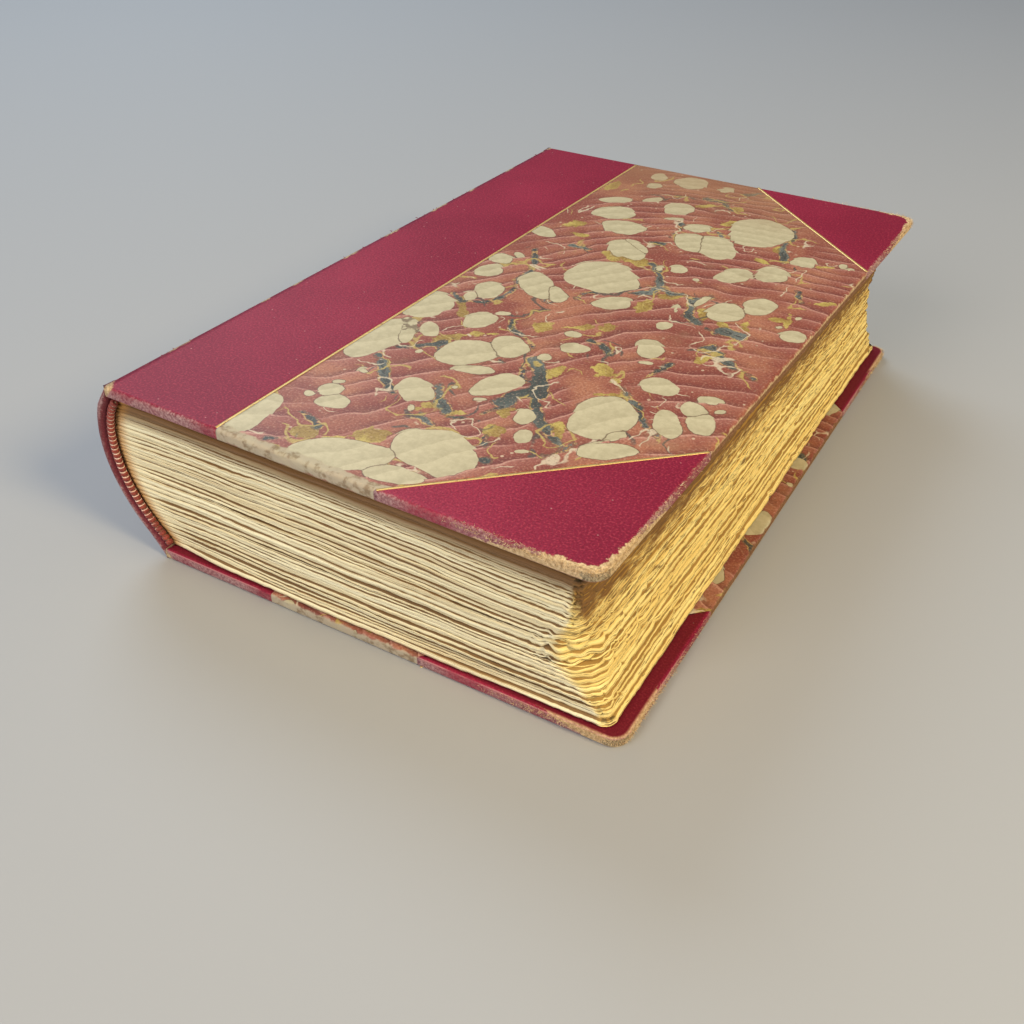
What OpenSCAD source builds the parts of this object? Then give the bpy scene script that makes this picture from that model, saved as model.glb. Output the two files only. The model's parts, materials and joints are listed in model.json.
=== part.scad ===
// Half-leather antique book with marbled sides, lying on its lower cover.
// +X runs from the spine to the fore-edge, +Y from the tail to the head, +Z up.
// The origin is the centre of the lower cover's outer face.
// The old binding has slipped: the upper cover sits nearer the spine and the tail than the
// lower one and is turned a little, and the leaves follow from the one to the other.

/* [Covers] */
// Height of a cover, tail to head
board_h = 260; // [200:1:320]
// Width of a cover, joint to fore-edge
board_w = 166; // [140:1:205]
// Thickness of a finished cover
board_t = 4; // [3.4:0.1:5]
// Thickness of the leather and of the marbled paper on the covers
cover_t = 0.6; // [0.4:0.05:0.8]
// Thickness of a pastedown where it lies over the turned-in edges
paste_t = 0.25; // [0.2:0.05:0.4]
// Width turned in over the edges on the inner face
turn_in = 15; // [10:1:20]
// Width of turned-in leather and paper left bare round a pastedown
paste_margin = 7; // [2:0.5:8]
// Radius of a cover's two outer corners, seen from above
corner_r = 5; // [1.5:0.5:6]
// Radius of the rounding along a cover's edges
arris_r = 1; // [0.6:0.1:1.2]

/* [Leather and gilt] */
// Width of the spine leather that lies on a cover
strip_w = 45; // [25:0.5:55]
// Length of a leather corner along the head or tail edge
corner_x = 66; // [35:1:75]
// Length of a leather corner along the fore-edge
corner_y = 62; // [35:1:85]
// Width of a gilt line
fillet_w = 0.9; // [0.5:0.1:2]
// Distance from a gilt line to the leather's cut edge
fillet_inset = 0.5; // [0.3:0.1:3]
// Depth to which a gilt line is pressed into the leather
fillet_depth = 0.2; // [0.1:0.05:0.3]

/* [Leaves] */
// Thickness of the leaves and endpapers between the covers
block_t = 57; // [45:1:75]
// Number of folded sections
sections = 30; // [16:1:40]
// Height of the groove between two sections
groove_h = 0.5; // [0.2:0.05:0.8]
// Depth of the groove between two sections
groove_depth = 0.9; // [0.3:0.1:1.5]
// How far the rough edges wander from section to section
deckle = 0.5; // [0:0.05:1]
// Overhang of the covers at head and tail
end_square = 3; // [3:0.2:7]
// Overhang of the covers at the fore-edge
fore_square = 5; // [3:0.5:9]
// Depth of the hollow in the fore-edge
fore_hollow = 5; // [0:0.5:8]
// Radius of the leaves' worn outer corners
leaf_r = 4; // [2:0.5:8]
// How much larger that radius is at the tail at mid-height, where a thumb has bent the corners
thumb_r = 6; // [0:0.5:8]
// Thickness of a flyleaf
flyleaf_t = 0.25; // [0.15:0.05:0.4]

/* [Spine] */
// Bulge of the spine past the joints
spine_bulge = 13.5; // [8:0.5:16]
// Thickness of the leather on the spine
spine_leather_t = 1.2; // [0.8:0.1:1.5]
// Thickness of the linings that fill the spine between the cords
lining_t = 3; // [2.7:0.1:3.6]
// Diameter of a sewing cord
cord_d = 2.2; // [1.4:0.1:2.3]
// Number of sewing cords
cords = 5; // [3:1:7]
// Thickness of the leather caps rolled over the spine's ends
cap_t = 3.4; // [2.6:0.1:3.8]
// Depth of a cap's rounded lip
cap_lip = 0.7; // [0.4:0.1:1]

/* [Endbands] */
// Diameter of a wound endband
band_d = 2.5; // [2:0.1:2.8]
// Diameter of an endband's core
core_d = 1.4; // [0.8:0.1:1.6]
// Width of one turn of silk
turn_w = 2.1; // [1.4:0.1:3]
// Depth of the valley between two turns
turn_valley = 0.15; // [0.05:0.05:0.2]

/* [Slip of the old binding] */
// Upper cover's slip towards the spine
lean_x = 5; // [0:0.2:8]
// Upper cover's slip towards the tail
lean_y = 3.8; // [0:0.2:6]
// Upper cover's turn against the lower one, in degrees
twist = 1.46; // [0:0.02:2]

/* [Hidden] */
$fn = 48;
// Gap between the lining and what lies in or against it
fit_gap = 0.2;
// Gap between an endband and the covers
cover_gap = 0.3;
// Gap between the spine and a cover's edge at a joint
joint_gap = 0.1;
// Gap between the leaves and a closed cover
leaf_gap = 0.05;
// Height beside each cover where the spine and the leaves move with that cover
shoulder_h = 4;
// Reach of a cutting shape past the solid that it cuts
past = 1;
// How far the leaves at the bottom of a groove reach into the sections above and below it
lap = 0.2;
// Steps along the round of the spine
round_steps = 20;
// Sides of a cord, a core or a wound endband
cord_sides = 8;
// Rings that shape one turn of silk
turn_rings = 3;

book_t = block_t + 2 * board_t;
mid_z = book_t / 2;
millboard_t = board_t - 2 * cover_t - paste_t;
case_t = board_t - paste_t;
inner_z = cover_t + millboard_t;
spine_r = (pow(mid_z, 2) / spine_bulge + spine_bulge) / 2;
spine_x = spine_r - spine_bulge;
lining_r = spine_r - spine_leather_t;
back_r = lining_r - lining_t;
cord_r = back_r + (cord_d + fit_gap) / 2;
cap_r = spine_r - cap_t;
band_r = cap_r - band_d / 2 - fit_gap / 2;
block_low = board_t + leaf_gap + flyleaf_t;
block_high = book_t - block_low;
section_t = (block_high - block_low) / sections;

leather = [0.56, 0.19, 0.27];
marbled = [0.66, 0.33, 0.33];
gilt = [0.83, 0.66, 0.33];
millboard = [0.52, 0.46, 0.38];
leaf_paper = [0.87, 0.80, 0.66];
end_paper = [0.84, 0.77, 0.63];
linen = [0.72, 0.64, 0.50];
silk = [0.66, 0.29, 0.22];

// How far the slip has grown at a height: 0 at the lower cover, 1 at the upper one
function slip_at(z) =
  max(0, min(1, (z - board_t - shoulder_h) / (block_t - 2 * shoulder_h)));

// A point measured from the tail end of the lower joint, moved by the slip at its height
function settled(p) =
  let (u = slip_at(p[2]), a = twist * u)
  [
    p[0] * cos(a) + p[1] * sin(a) - board_w / 2 - lean_x * u,
    p[1] * cos(a) - p[0] * sin(a) - board_h / 2 - lean_y * u,
    p[2]
  ];

module settle(z) {
  u = slip_at(z);
  translate([-board_w / 2 - lean_x * u, -board_h / 2 - lean_y * u, 0])
    rotate([0, 0, -twist * u])
      children();
}

// The covers are drawn with the outer face down, the joint along Y and the tail at y = 0
module as_back_cover() {
  translate([-board_w / 2, -board_h / 2, 0])
    children();
}

module as_front_cover() {
  settle(book_t)
    translate([0, 0, book_t])
      mirror([0, 0, 1])
        children();
}

module at_head() {
  translate([0, board_h, 0])
    mirror([0, 1, 0])
      children();
}

// Covers

// Outline with two rounded outer corners
module cover_plan(w, low, high, r) {
  translate([0, low])
    square([w - r, high - low]);
  translate([0, low + r])
    square([w, high - low - 2 * r]);
  for (y = [low + r, high - r])
    translate([w - r, y])
      circle(r = r);
}

// Section across a cover's fore-edge
module fore_profile() {
  square([board_w - arris_r, case_t]);
  translate([0, arris_r])
    square([board_w, case_t - 2 * arris_r]);
  for (z = [arris_r, case_t - arris_r])
    translate([board_w - arris_r, z])
      circle(r = arris_r);
}

// Section across a cover's tail and head edges
module end_profile() {
  translate([arris_r, 0])
    square([board_h - 2 * arris_r, case_t]);
  translate([0, arris_r])
    square([board_h, case_t - 2 * arris_r]);
  for (y = [arris_r, board_h - arris_r], z = [arris_r, case_t - arris_r])
    translate([y, z])
      circle(r = arris_r);
}

// Everything that the leather and the paper wrap
module wrapped() {
  intersection() {
    linear_extrude(case_t)
      cover_plan(board_w, 0, board_h, corner_r);
    translate([0, board_h, 0])
      rotate([90, 0, 0])
        linear_extrude(board_h)
          fore_profile();
    rotate([90, 0, 90])
      linear_extrude(board_w)
        end_profile();
  }
}

module millboard_solid() {
  translate([0, 0, cover_t])
    linear_extrude(millboard_t)
      cover_plan(board_w - cover_t, cover_t, board_h - cover_t, corner_r - cover_t);
}

// The part of the inner face that the turned-in edges leave open
module paste_window(height) {
  translate([0, turn_in, inner_z])
    cube([board_w - turn_in, board_h - 2 * turn_in, height]);
}

module covering() {
  difference() {
    wrapped();
    millboard_solid();
    translate([-past, 0, 0])
      millboard_solid();
    paste_window(case_t);
    translate([-past, 0, 0])
      paste_window(case_t);
  }
}

module strip_zone() {
  translate([-past, -past, -past])
    cube([strip_w + past, board_h + 2 * past, board_t + 2 * past]);
}

module corner_zone() {
  slant = corner_x / corner_y;
  translate([0, 0, -past])
    linear_extrude(board_t + 2 * past)
      polygon([
        [board_w - corner_x - past * slant, -past],
        [board_w + past, -past],
        [board_w + past, corner_y + past / slant]
      ]);
}

module gilt_corner_line() {
  slope = atan2(corner_y, corner_x);
  run = norm([corner_x, corner_y]);
  intersection() {
    translate([board_w - corner_x, 0])
      rotate(slope)
        translate([-past, -fillet_inset - fillet_w])
          square([run + 2 * past, fillet_w]);
    translate([0, arris_r])
      square([board_w - arris_r, board_h - 2 * arris_r]);
  }
}

module gilt_lines() {
  translate([strip_w - fillet_inset - fillet_w, arris_r])
    square([fillet_w, board_h - 2 * arris_r]);
  gilt_corner_line();
  translate([0, board_h])
    mirror([0, 1])
      gilt_corner_line();
}

module gilt_grooves() {
  translate([0, 0, -past])
    linear_extrude(past + fillet_depth)
      gilt_lines();
}

module cover_board() {
  color(millboard)
    millboard_solid();
}

module cover_strip() {
  color(leather)
    difference() {
      intersection() {
        covering();
        strip_zone();
      }
      gilt_grooves();
    }
}

module cover_corner() {
  color(leather)
    difference() {
      intersection() {
        covering();
        corner_zone();
      }
      gilt_grooves();
    }
}

module cover_paper() {
  color(marbled)
    difference() {
      covering();
      strip_zone();
      corner_zone();
      at_head()
        corner_zone();
    }
}

module cover_gilt() {
  color(gilt)
    linear_extrude(fillet_depth)
      gilt_lines();
}

module cover_pastedown() {
  color(end_paper) {
    translate([0, paste_margin, case_t])
      cube([board_w - paste_margin, board_h - 2 * paste_margin, paste_t]);
    paste_window(cover_t);
  }
}

// Leaves

// Where the folds of the sections stand at a height, rounded with the spine
function back_x(z) = min(0, spine_x - sqrt(max(0, pow(back_r, 2) - pow(z - mid_z, 2)))) + fit_gap;

// The innermost of the two faces of a layer, so that no fold cuts into the lining
function layer_back_x(low, high) = max(back_x(low), back_x(high));

function fore_x(z) =
  board_w - fore_square - fore_hollow * (1 - pow((z - mid_z) / (block_t / 2), 2));

// A steady irregularity from -1 to 1 for section k, different for each edge
function wander(k, edge) = sin(137.5 * k + 71 * edge) * cos(61 * k + 23 * edge);

function tail_r(z) = leaf_r + thumb_r * exp(-pow(6 * (z - mid_z) / block_t, 2));

module leaf_outline(back, fore, low, high, low_r, high_r) {
  polygon(concat(
    [[back, low]],
    [for (a = [-90:30:0]) [fore - low_r + low_r * cos(a), low + low_r + low_r * sin(a)]],
    [for (a = [0:30:90]) [fore - high_r + high_r * cos(a), high - high_r + high_r * sin(a)]],
    [[back, high]]
  ));
}

module layer(low, high) {
  mid = (low + high) / 2;
  settle(mid)
    translate([0, 0, low])
      linear_extrude(high - low)
        children();
}

module section_leaves(k) {
  low = block_low + k * section_t + (k == 0 ? 0 : groove_h / 2);
  high = block_low + (k + 1) * section_t - (k == sections - 1 ? 0 : groove_h / 2);
  layer(low, high)
    leaf_outline(
      layer_back_x(low, high),
      fore_x((low + high) / 2) + deckle * wander(k, 1),
      end_square + deckle * (1 + wander(k, 2)),
      board_h - end_square - deckle * (1 + wander(k, 3)),
      tail_r((low + high) / 2) * (1 + wander(k, 4) / 3),
      leaf_r * (1 + wander(k, 5) / 3)
    );
}

module section_gutter(k) {
  low = block_low + k * section_t - groove_h / 2 - lap;
  high = low + groove_h + 2 * lap;
  inset = groove_depth + 2 * deckle;
  layer(low, high)
    leaf_outline(
      layer_back_x(low, high) + fit_gap,
      fore_x((low + high) / 2) - inset,
      end_square + inset,
      board_h - end_square - inset,
      tail_r((low + high) / 2),
      leaf_r
    );
}

module text_block() {
  color(leaf_paper) {
    for (k = [0:sections - 1])
      section_leaves(k);
    for (k = [1:sections - 1])
      section_gutter(k);
  }
}

module flyleaf(low, high) {
  color(end_paper)
    layer(low, high)
      leaf_outline(
        layer_back_x(low, high),
        fore_x((low + high) / 2) - deckle,
        end_square + deckle,
        board_h - end_square - deckle,
        tail_r((low + high) / 2),
        leaf_r
      );
}

// Spine

// Half the angle that an arc of the spine spans before it meets the covers' edges
function half_angle(r) = acos((spine_x + joint_gap) / r);

function on_round(r, a, y) = [spine_x - r * cos(a), y, mid_z + r * sin(a)];

function arc_points(r, y) =
  [for (i = [0:round_steps]) on_round(r, half_angle(r) * (2 * i / round_steps - 1), y)];

function reversed(list) = [for (i = [len(list) - 1:-1:0]) list[i]];

function flat_list(lists) = [for (list = lists, item = list) item];

// Cross-section of a shell that follows the spine: out along its outer arc, back along its inner one
function shell_ring(outer, inner, y) =
  [for (p = concat(arc_points(outer, y), reversed(arc_points(inner, y)))) settled(p)];

// Cross-section of a round cord at angle a on the round of radius r
function cord_ring(r, a, y, d) =
  [
    for (i = [0:cord_sides - 1])
      let (
        turn = 360 * (i + 0.5) / cord_sides,
        p = on_round(r + d / 2 * cos(turn), a, y - d / 2 * sin(turn))
      )
      settled(p)
  ];

function quad(a, b, c, d) = [[a, b, c], [a, c, d]];

function side_faces(rings, n, first = 0) =
  flat_list([
    for (j = [0:rings - 2], i = [0:n - 1])
      let (a = first + j * n + i, b = first + j * n + (i + 1) % n)
      quad(a, a + n, b + n, b)
  ]);

function end_faces(n, first = 0) =
  flat_list([
    for (i = [0:n / 2 - 2])
      quad(first + i, first + i + 1, first + n - 2 - i, first + n - 1 - i)
  ]);

function turned(faces) = [for (f = faces) reversed(f)];

module loft(rings) {
  n = len(rings[0]);
  polyhedron(
    points = flat_list(rings),
    faces = concat(
      side_faces(len(rings), n),
      end_faces(n),
      turned(end_faces(n, (len(rings) - 1) * n))
    )
  );
}

// A tube whose bore has rings of its own
module sleeve(outer, bore) {
  n = len(outer[0]);
  m = len(outer) * n;
  last = m - n;
  bore_last = m + (len(bore) - 1) * n;
  rim = [for (i = [0:n - 1]) [i, (i + 1) % n]];
  polyhedron(
    points = concat(flat_list(outer), flat_list(bore)),
    faces = concat(
      side_faces(len(outer), n),
      turned(side_faces(len(bore), n, m)),
      flat_list([for (e = rim) quad(e[0], e[1], m + e[1], m + e[0])]),
      flat_list([for (e = rim) quad(last + e[1], last + e[0], bore_last + e[0], bore_last + e[1])])
    )
  );
}

// Stations of the leather from the lip of a cap to the plain spine: distance from the end,
// outer radius, inner radius
cap_stations = [
  [0, spine_r - cap_lip, cap_r + 2 * cap_lip],
  [cap_lip, spine_r, cap_r + cap_lip],
  [end_square / 2, spine_r, cap_r],
  [end_square - fit_gap / 2, spine_r, cap_r],
  [end_square, spine_r, lining_r]
];

module spine_leather() {
  color(leather)
    loft(concat(
      [for (s = cap_stations) shell_ring(s[1], s[2], s[0])],
      [for (s = reversed(cap_stations)) shell_ring(s[1], s[2], board_h - s[0])]
    ));
}

function cord_y(k) = end_square + k * (board_h - 2 * end_square) / (cords + 1);

module spine_lining() {
  channel_r = back_r + cord_d + fit_gap;
  half = (cord_d + fit_gap) / 2;
  stations = concat(
    [[end_square, back_r]],
    flat_list([
      for (k = [1:cords]) [
        [cord_y(k) - half - fit_gap, back_r],
        [cord_y(k) - half, channel_r],
        [cord_y(k) + half, channel_r],
        [cord_y(k) + half + fit_gap, back_r]
      ]
    ]),
    [[board_h - end_square, back_r]]
  );
  color(linen)
    loft([for (s = stations) shell_ring(lining_r, s[1], s[0])]);
}

module sewing_cords() {
  reach = acos((spine_x + cover_gap + cord_d / 2) / cord_r);
  color(linen)
    for (k = [1:cords])
      loft([
        for (i = [0:round_steps])
          cord_ring(cord_r, reach * (2 * i / round_steps - 1), cord_y(k), cord_d)
      ]);
}

// Endbands

band_reach = asin((block_t / 2 - band_d / 2 - cover_gap) / band_r);
band_turns = round(2 * band_reach * PI / 180 * band_r / turn_w);
band_y = end_square - band_d / 2 - fit_gap / 2;

function band_rings(y, d, steps) =
  [for (i = [0:steps]) cord_ring(band_r, band_reach * (2 * i / steps - 1), y, d)];

function silk_rings(y) =
  let (steps = band_turns * turn_rings)
  [
    for (i = [0:steps])
      cord_ring(
        band_r,
        band_reach * (2 * i / steps - 1),
        y,
        i % turn_rings == 0 ? band_d - 2 * turn_valley : band_d
      )
  ];

module band_core(y) {
  color(linen)
    loft(band_rings(y, core_d, round_steps));
}

module band_silk(y) {
  color(silk)
    sleeve(silk_rings(y), band_rings(y, core_d, round_steps));
}

as_front_cover() cover_board();  // front_board
as_front_cover() cover_strip();  // front_spine_strip
as_front_cover() cover_corner();  // front_corner_tail
as_front_cover() at_head() cover_corner();  // front_corner_head
as_front_cover() cover_paper();  // front_marbled_paper
as_front_cover() cover_gilt();  // front_gilt_fillets
as_front_cover() cover_pastedown();  // front_pastedown
as_back_cover() cover_board();  // back_board
as_back_cover() cover_strip();  // back_spine_strip
as_back_cover() cover_corner();  // back_corner_tail
as_back_cover() at_head() cover_corner();  // back_corner_head
as_back_cover() cover_paper();  // back_marbled_paper
as_back_cover() cover_gilt();  // back_gilt_fillets
as_back_cover() cover_pastedown();  // back_pastedown
text_block();
flyleaf(block_high, block_high + flyleaf_t);  // front_flyleaf
flyleaf(block_low - flyleaf_t, block_low);  // back_flyleaf
spine_leather();
spine_lining();
sewing_cords();
band_core(band_y);  // tail_band_core
band_silk(band_y);  // tail_band_silk
band_core(board_h - band_y);  // head_band_core
band_silk(board_h - band_y);  // head_band_silk
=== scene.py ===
import json
import math
import bmesh
import bpy
import numpy as np
from mathutils import Matrix, Vector


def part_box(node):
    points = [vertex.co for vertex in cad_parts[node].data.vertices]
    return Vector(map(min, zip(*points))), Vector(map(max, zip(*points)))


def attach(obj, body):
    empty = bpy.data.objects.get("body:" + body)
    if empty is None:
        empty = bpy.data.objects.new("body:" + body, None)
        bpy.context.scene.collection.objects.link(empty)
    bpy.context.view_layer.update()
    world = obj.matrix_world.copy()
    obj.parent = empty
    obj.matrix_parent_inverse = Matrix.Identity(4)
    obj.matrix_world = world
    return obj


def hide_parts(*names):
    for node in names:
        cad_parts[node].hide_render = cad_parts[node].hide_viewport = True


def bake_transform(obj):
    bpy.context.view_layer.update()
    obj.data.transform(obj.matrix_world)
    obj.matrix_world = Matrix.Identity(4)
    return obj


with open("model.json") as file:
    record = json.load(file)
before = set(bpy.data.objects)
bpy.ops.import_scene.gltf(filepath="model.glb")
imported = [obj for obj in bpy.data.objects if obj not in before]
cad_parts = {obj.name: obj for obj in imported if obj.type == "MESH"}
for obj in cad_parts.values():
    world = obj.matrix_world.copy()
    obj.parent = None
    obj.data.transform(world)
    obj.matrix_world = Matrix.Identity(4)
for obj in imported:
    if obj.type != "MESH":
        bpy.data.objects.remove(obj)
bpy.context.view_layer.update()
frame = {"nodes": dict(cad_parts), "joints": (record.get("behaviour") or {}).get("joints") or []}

# The room: a pale floor and backdrop, a broad soft lamp over the spine and a warmer one
# beside the fore-edge. The camera stands where the photograph was taken from, to the
# right of the tail and looking down.
scene = bpy.context.scene
scene.view_settings.view_transform = "Standard"

CAMERA_PLACE = Vector((0.1574, -0.3123, 0.2223))
CAMERA_HEADING = math.radians(-30.66)
CAMERA_PITCH = math.radians(36.13)
CAMERA_ROLL = math.radians(-0.21)
CAMERA_LENS = 38.0
FLOOR_COLOUR = (0.375, 0.375, 0.385)
BACKDROP_COLOUR = (0.36, 0.40, 0.45)


def linked(name, data):
    obj = bpy.data.objects.new(name, data)
    scene.collection.objects.link(obj)
    return obj


forward = Vector((
    math.sin(CAMERA_HEADING) * math.cos(CAMERA_PITCH),
    math.cos(CAMERA_HEADING) * math.cos(CAMERA_PITCH),
    -math.sin(CAMERA_PITCH),
))
level = Vector((math.cos(CAMERA_HEADING), -math.sin(CAMERA_HEADING), 0))
upright = level.cross(forward)
right = math.cos(CAMERA_ROLL) * level + math.sin(CAMERA_ROLL) * upright
camera_up = -math.sin(CAMERA_ROLL) * level + math.cos(CAMERA_ROLL) * upright
camera = linked("camera", bpy.data.cameras.new("camera"))
camera.data.lens = CAMERA_LENS
camera.data.sensor_width = 36
camera.data.clip_start = 0.01
camera.matrix_world = Matrix((
    (right.x, camera_up.x, -forward.x, CAMERA_PLACE.x),
    (right.y, camera_up.y, -forward.y, CAMERA_PLACE.y),
    (right.z, camera_up.z, -forward.z, CAMERA_PLACE.z),
    (0, 0, 0, 1),
))
scene.camera = camera


def lamp(name, place, aim, size, power, colour):
    light = bpy.data.lights.new(name, "AREA")
    light.shape = "DISK"
    light.size = size
    light.energy = power
    light.color = colour
    obj = linked(name, light)
    obj.location = place
    obj.rotation_mode = "QUATERNION"
    obj.rotation_quaternion = (Vector(aim) - Vector(place)).to_track_quat("-Z", "Y")


lamp("window_lamp", (-1.0, 0.65, 1.2), (-0.1, 0.1, 0), 0.9, 12.5, (0.72, 0.87, 1.0))
lamp("side_lamp", (1.05, -0.3, 0.85), (0.05, 0, 0.03), 0.40, 15.0, (1.0, 0.82, 0.47))
lamp("front_lamp", (-0.2, -1.3, 0.9), (0, 0, 0.03), 0.8, 13.0, (1.0, 0.93, 0.84))

world = bpy.data.worlds.new("pale_room")
world.use_nodes = True
sky = world.node_tree.nodes["Background"].inputs
sky["Color"].default_value = (0.82, 0.88, 0.97, 1)
sky["Strength"].default_value = 0.40
scene.world = world


def material(name, colour, roughness):
    mat = bpy.data.materials.new(name)
    mat.use_nodes = True
    shader = mat.node_tree.nodes["Principled BSDF"]
    shader.inputs["Base Color"].default_value = (*colour, 1)
    shader.inputs["Roughness"].default_value = roughness
    return mat


def plane(name, width, depth, place, turn, mat):
    mesh = bpy.data.meshes.new(name)
    w, d = width / 2, depth / 2
    corners = [Vector(c) for c in ((-w, -d, 0), (w, -d, 0), (w, d, 0), (-w, d, 0))]
    turned = Matrix.Rotation(turn, 4, "X")
    mesh.from_pydata([turned @ c + Vector(place) for c in corners], [], [(0, 1, 2, 3)])
    mesh.materials.append(mat)
    linked(name, mesh)


plane("floor", 8, 8, (0, 0, 0), 0, material("pale_floor", FLOOR_COLOUR, 0.7))
wall_finish = material("pale_backdrop", BACKDROP_COLOUR, 0.9)
plane("backdrop", 8, 4, (0, 4, 2), math.radians(90), wall_finish)

# The leaves: sewn sections of uncut rag paper. Their edges were never trimmed, so each
# section ends at its own depth and waves up and down, with dark gaps where two part, and
# the corners nearest the reader's thumb are bent and crumpled.
front_hinge = {j["name"]: j for j in frame["joints"]}["front_hinge"]
BOARD_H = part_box("back_marbled_paper")[1].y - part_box("back_marbled_paper")[0].y
BOARD_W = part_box("back_marbled_paper")[1].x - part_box("back_spine_strip")[0].x
BOOK_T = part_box("front_marbled_paper")[1].z
INNER_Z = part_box("back_pastedown")[1].z
# the tail end of each joint, and the ways across and along the slipped upper cover
BACK_ORIGIN = np.array([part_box("back_spine_strip")[0].x, -BOARD_H / 2])
FRONT_ALONG = -np.array(front_hinge["axis"][:2])
FRONT_ACROSS = np.array([FRONT_ALONG[1], -FRONT_ALONG[0]])
FRONT_ORIGIN = np.array(front_hinge["pos_m"][:2]) - FRONT_ALONG * BOARD_H / 2
LEAN = FRONT_ORIGIN - BACK_ORIGIN
TWIST = math.atan2(FRONT_ALONG[0], FRONT_ALONG[1])
SHOULDER = 0.004  # height beside each cover where the leaves move with it
SPINE_BULGE = 0.0135
SPINE_R = ((BOOK_T / 2) ** 2 / SPINE_BULGE + SPINE_BULGE) / 2
SPINE_X = SPINE_R - SPINE_BULGE
FOLDS_R = SPINE_R - 0.0042  # inside the leather and the linings
END_SQUARE = 0.003  # how far the boards reach past the leaves at head and tail
FORE_SQUARE = 0.005
FORE_HOLLOW = 0.005
LEAF_R = 0.003
THUMB_R = 0.009  # what a thumb has added to the rounding of the corners at the tail


def ramp(distance, width):
    """0 up to where the distance starts, then rising to 1 over the width."""
    return np.clip(distance / width, 0, 1)


def near(distance, centre, width):
    """1 at the centre, and falling away to both sides of it."""
    return np.exp(-((distance - centre) / width) ** 2)


def settled(points):
    """Moves points measured from the tail end of the lower joint by the slip at their height."""
    x, y, z = np.asarray(points, float).reshape(-1, 3).T
    u = ramp(z - INNER_Z - SHOULDER, BOOK_T - 2 * INNER_Z - 2 * SHOULDER)
    c, s = np.cos(TWIST * u), np.sin(TWIST * u)
    return np.column_stack((
        BACK_ORIGIN[0] + LEAN[0] * u + c * x + s * y,
        BACK_ORIGIN[1] + LEAN[1] * u - s * x + c * y,
        z,
    ))


def folds_x(z):
    """Where the sections' folds lie on the round of the spine, at a height."""
    inside = np.maximum(FOLDS_R ** 2 - (z - BOOK_T / 2) ** 2, 0)
    return np.minimum(0, SPINE_X - np.sqrt(inside)) + 0.0003


def fore_x(z):
    """Where the leaves end in the hollow of the fore-edge, at a height."""
    height = (z - BOOK_T / 2) / (BOOK_T / 2 - INNER_Z)
    return BOARD_W - FORE_SQUARE - FORE_HOLLOW * (1 - height ** 2)


def add_values(mesh, values):
    """Gives a mesh's points named numbers or vectors, which the materials read."""
    for key, value in values.items():
        value = np.asarray(value, np.float32)
        kind, field = ("FLOAT", "value") if value.ndim == 1 else ("FLOAT_VECTOR", "vector")
        mesh.attributes.new(key, kind, "POINT").data.foreach_set(field, value.ravel())


def smoothed(mesh):
    mesh.polygons.foreach_set("use_smooth", [True] * len(mesh.polygons))


def mesh_piece(name, points, faces, mat, values=()):
    mesh = bpy.data.meshes.new(name)
    mesh.from_pydata([tuple(p) for p in points], [], [tuple(int(i) for i in f) for f in faces])
    add_values(mesh, dict(values))
    mesh.materials.append(mat)
    smoothed(mesh)
    return linked(name, mesh)


class Wire:
    """A node's output, which sums and products can be written with."""

    def __init__(self, nodes, socket):
        self.nodes, self.socket = nodes, socket

    def other(self, name):
        """Another output of the same node."""
        return Wire(self.nodes, self.socket.node.outputs[name])

    def __add__(self, term):
        return self.nodes.math("ADD", self, term)

    def __radd__(self, term):
        return self.nodes.math("ADD", term, self)

    def __sub__(self, term):
        return self.nodes.math("SUBTRACT", self, term)

    def __rsub__(self, term):
        return self.nodes.math("SUBTRACT", term, self)

    def __mul__(self, factor):
        return self.nodes.math("MULTIPLY", self, factor)

    def __pow__(self, power):
        return self.nodes.math("POWER", self, power)

    def __abs__(self):
        return self.nodes.math("ABSOLUTE", self)


class Nodes:
    """A short way to write a node tree."""

    def __init__(self, tree):
        self.tree = tree

    def put(self, socket, value):
        if isinstance(value, Wire):
            self.tree.links.new(value.socket, socket)
        elif isinstance(value, tuple) and len(value) == 3 and socket.type == "RGBA":
            socket.default_value = (*value, 1)
        else:
            socket.default_value = value

    def node(self, kind, inputs=(), out=0, **settings):
        made = self.tree.nodes.new(kind)
        for key, value in settings.items():
            setattr(made, key, value)
        for key, value in dict(inputs).items():
            self.put(made.inputs[key], value)
        return Wire(self, made.outputs[out])

    def math(self, operation, *values):
        return self.node("ShaderNodeMath", enumerate(values), operation=operation)


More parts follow.
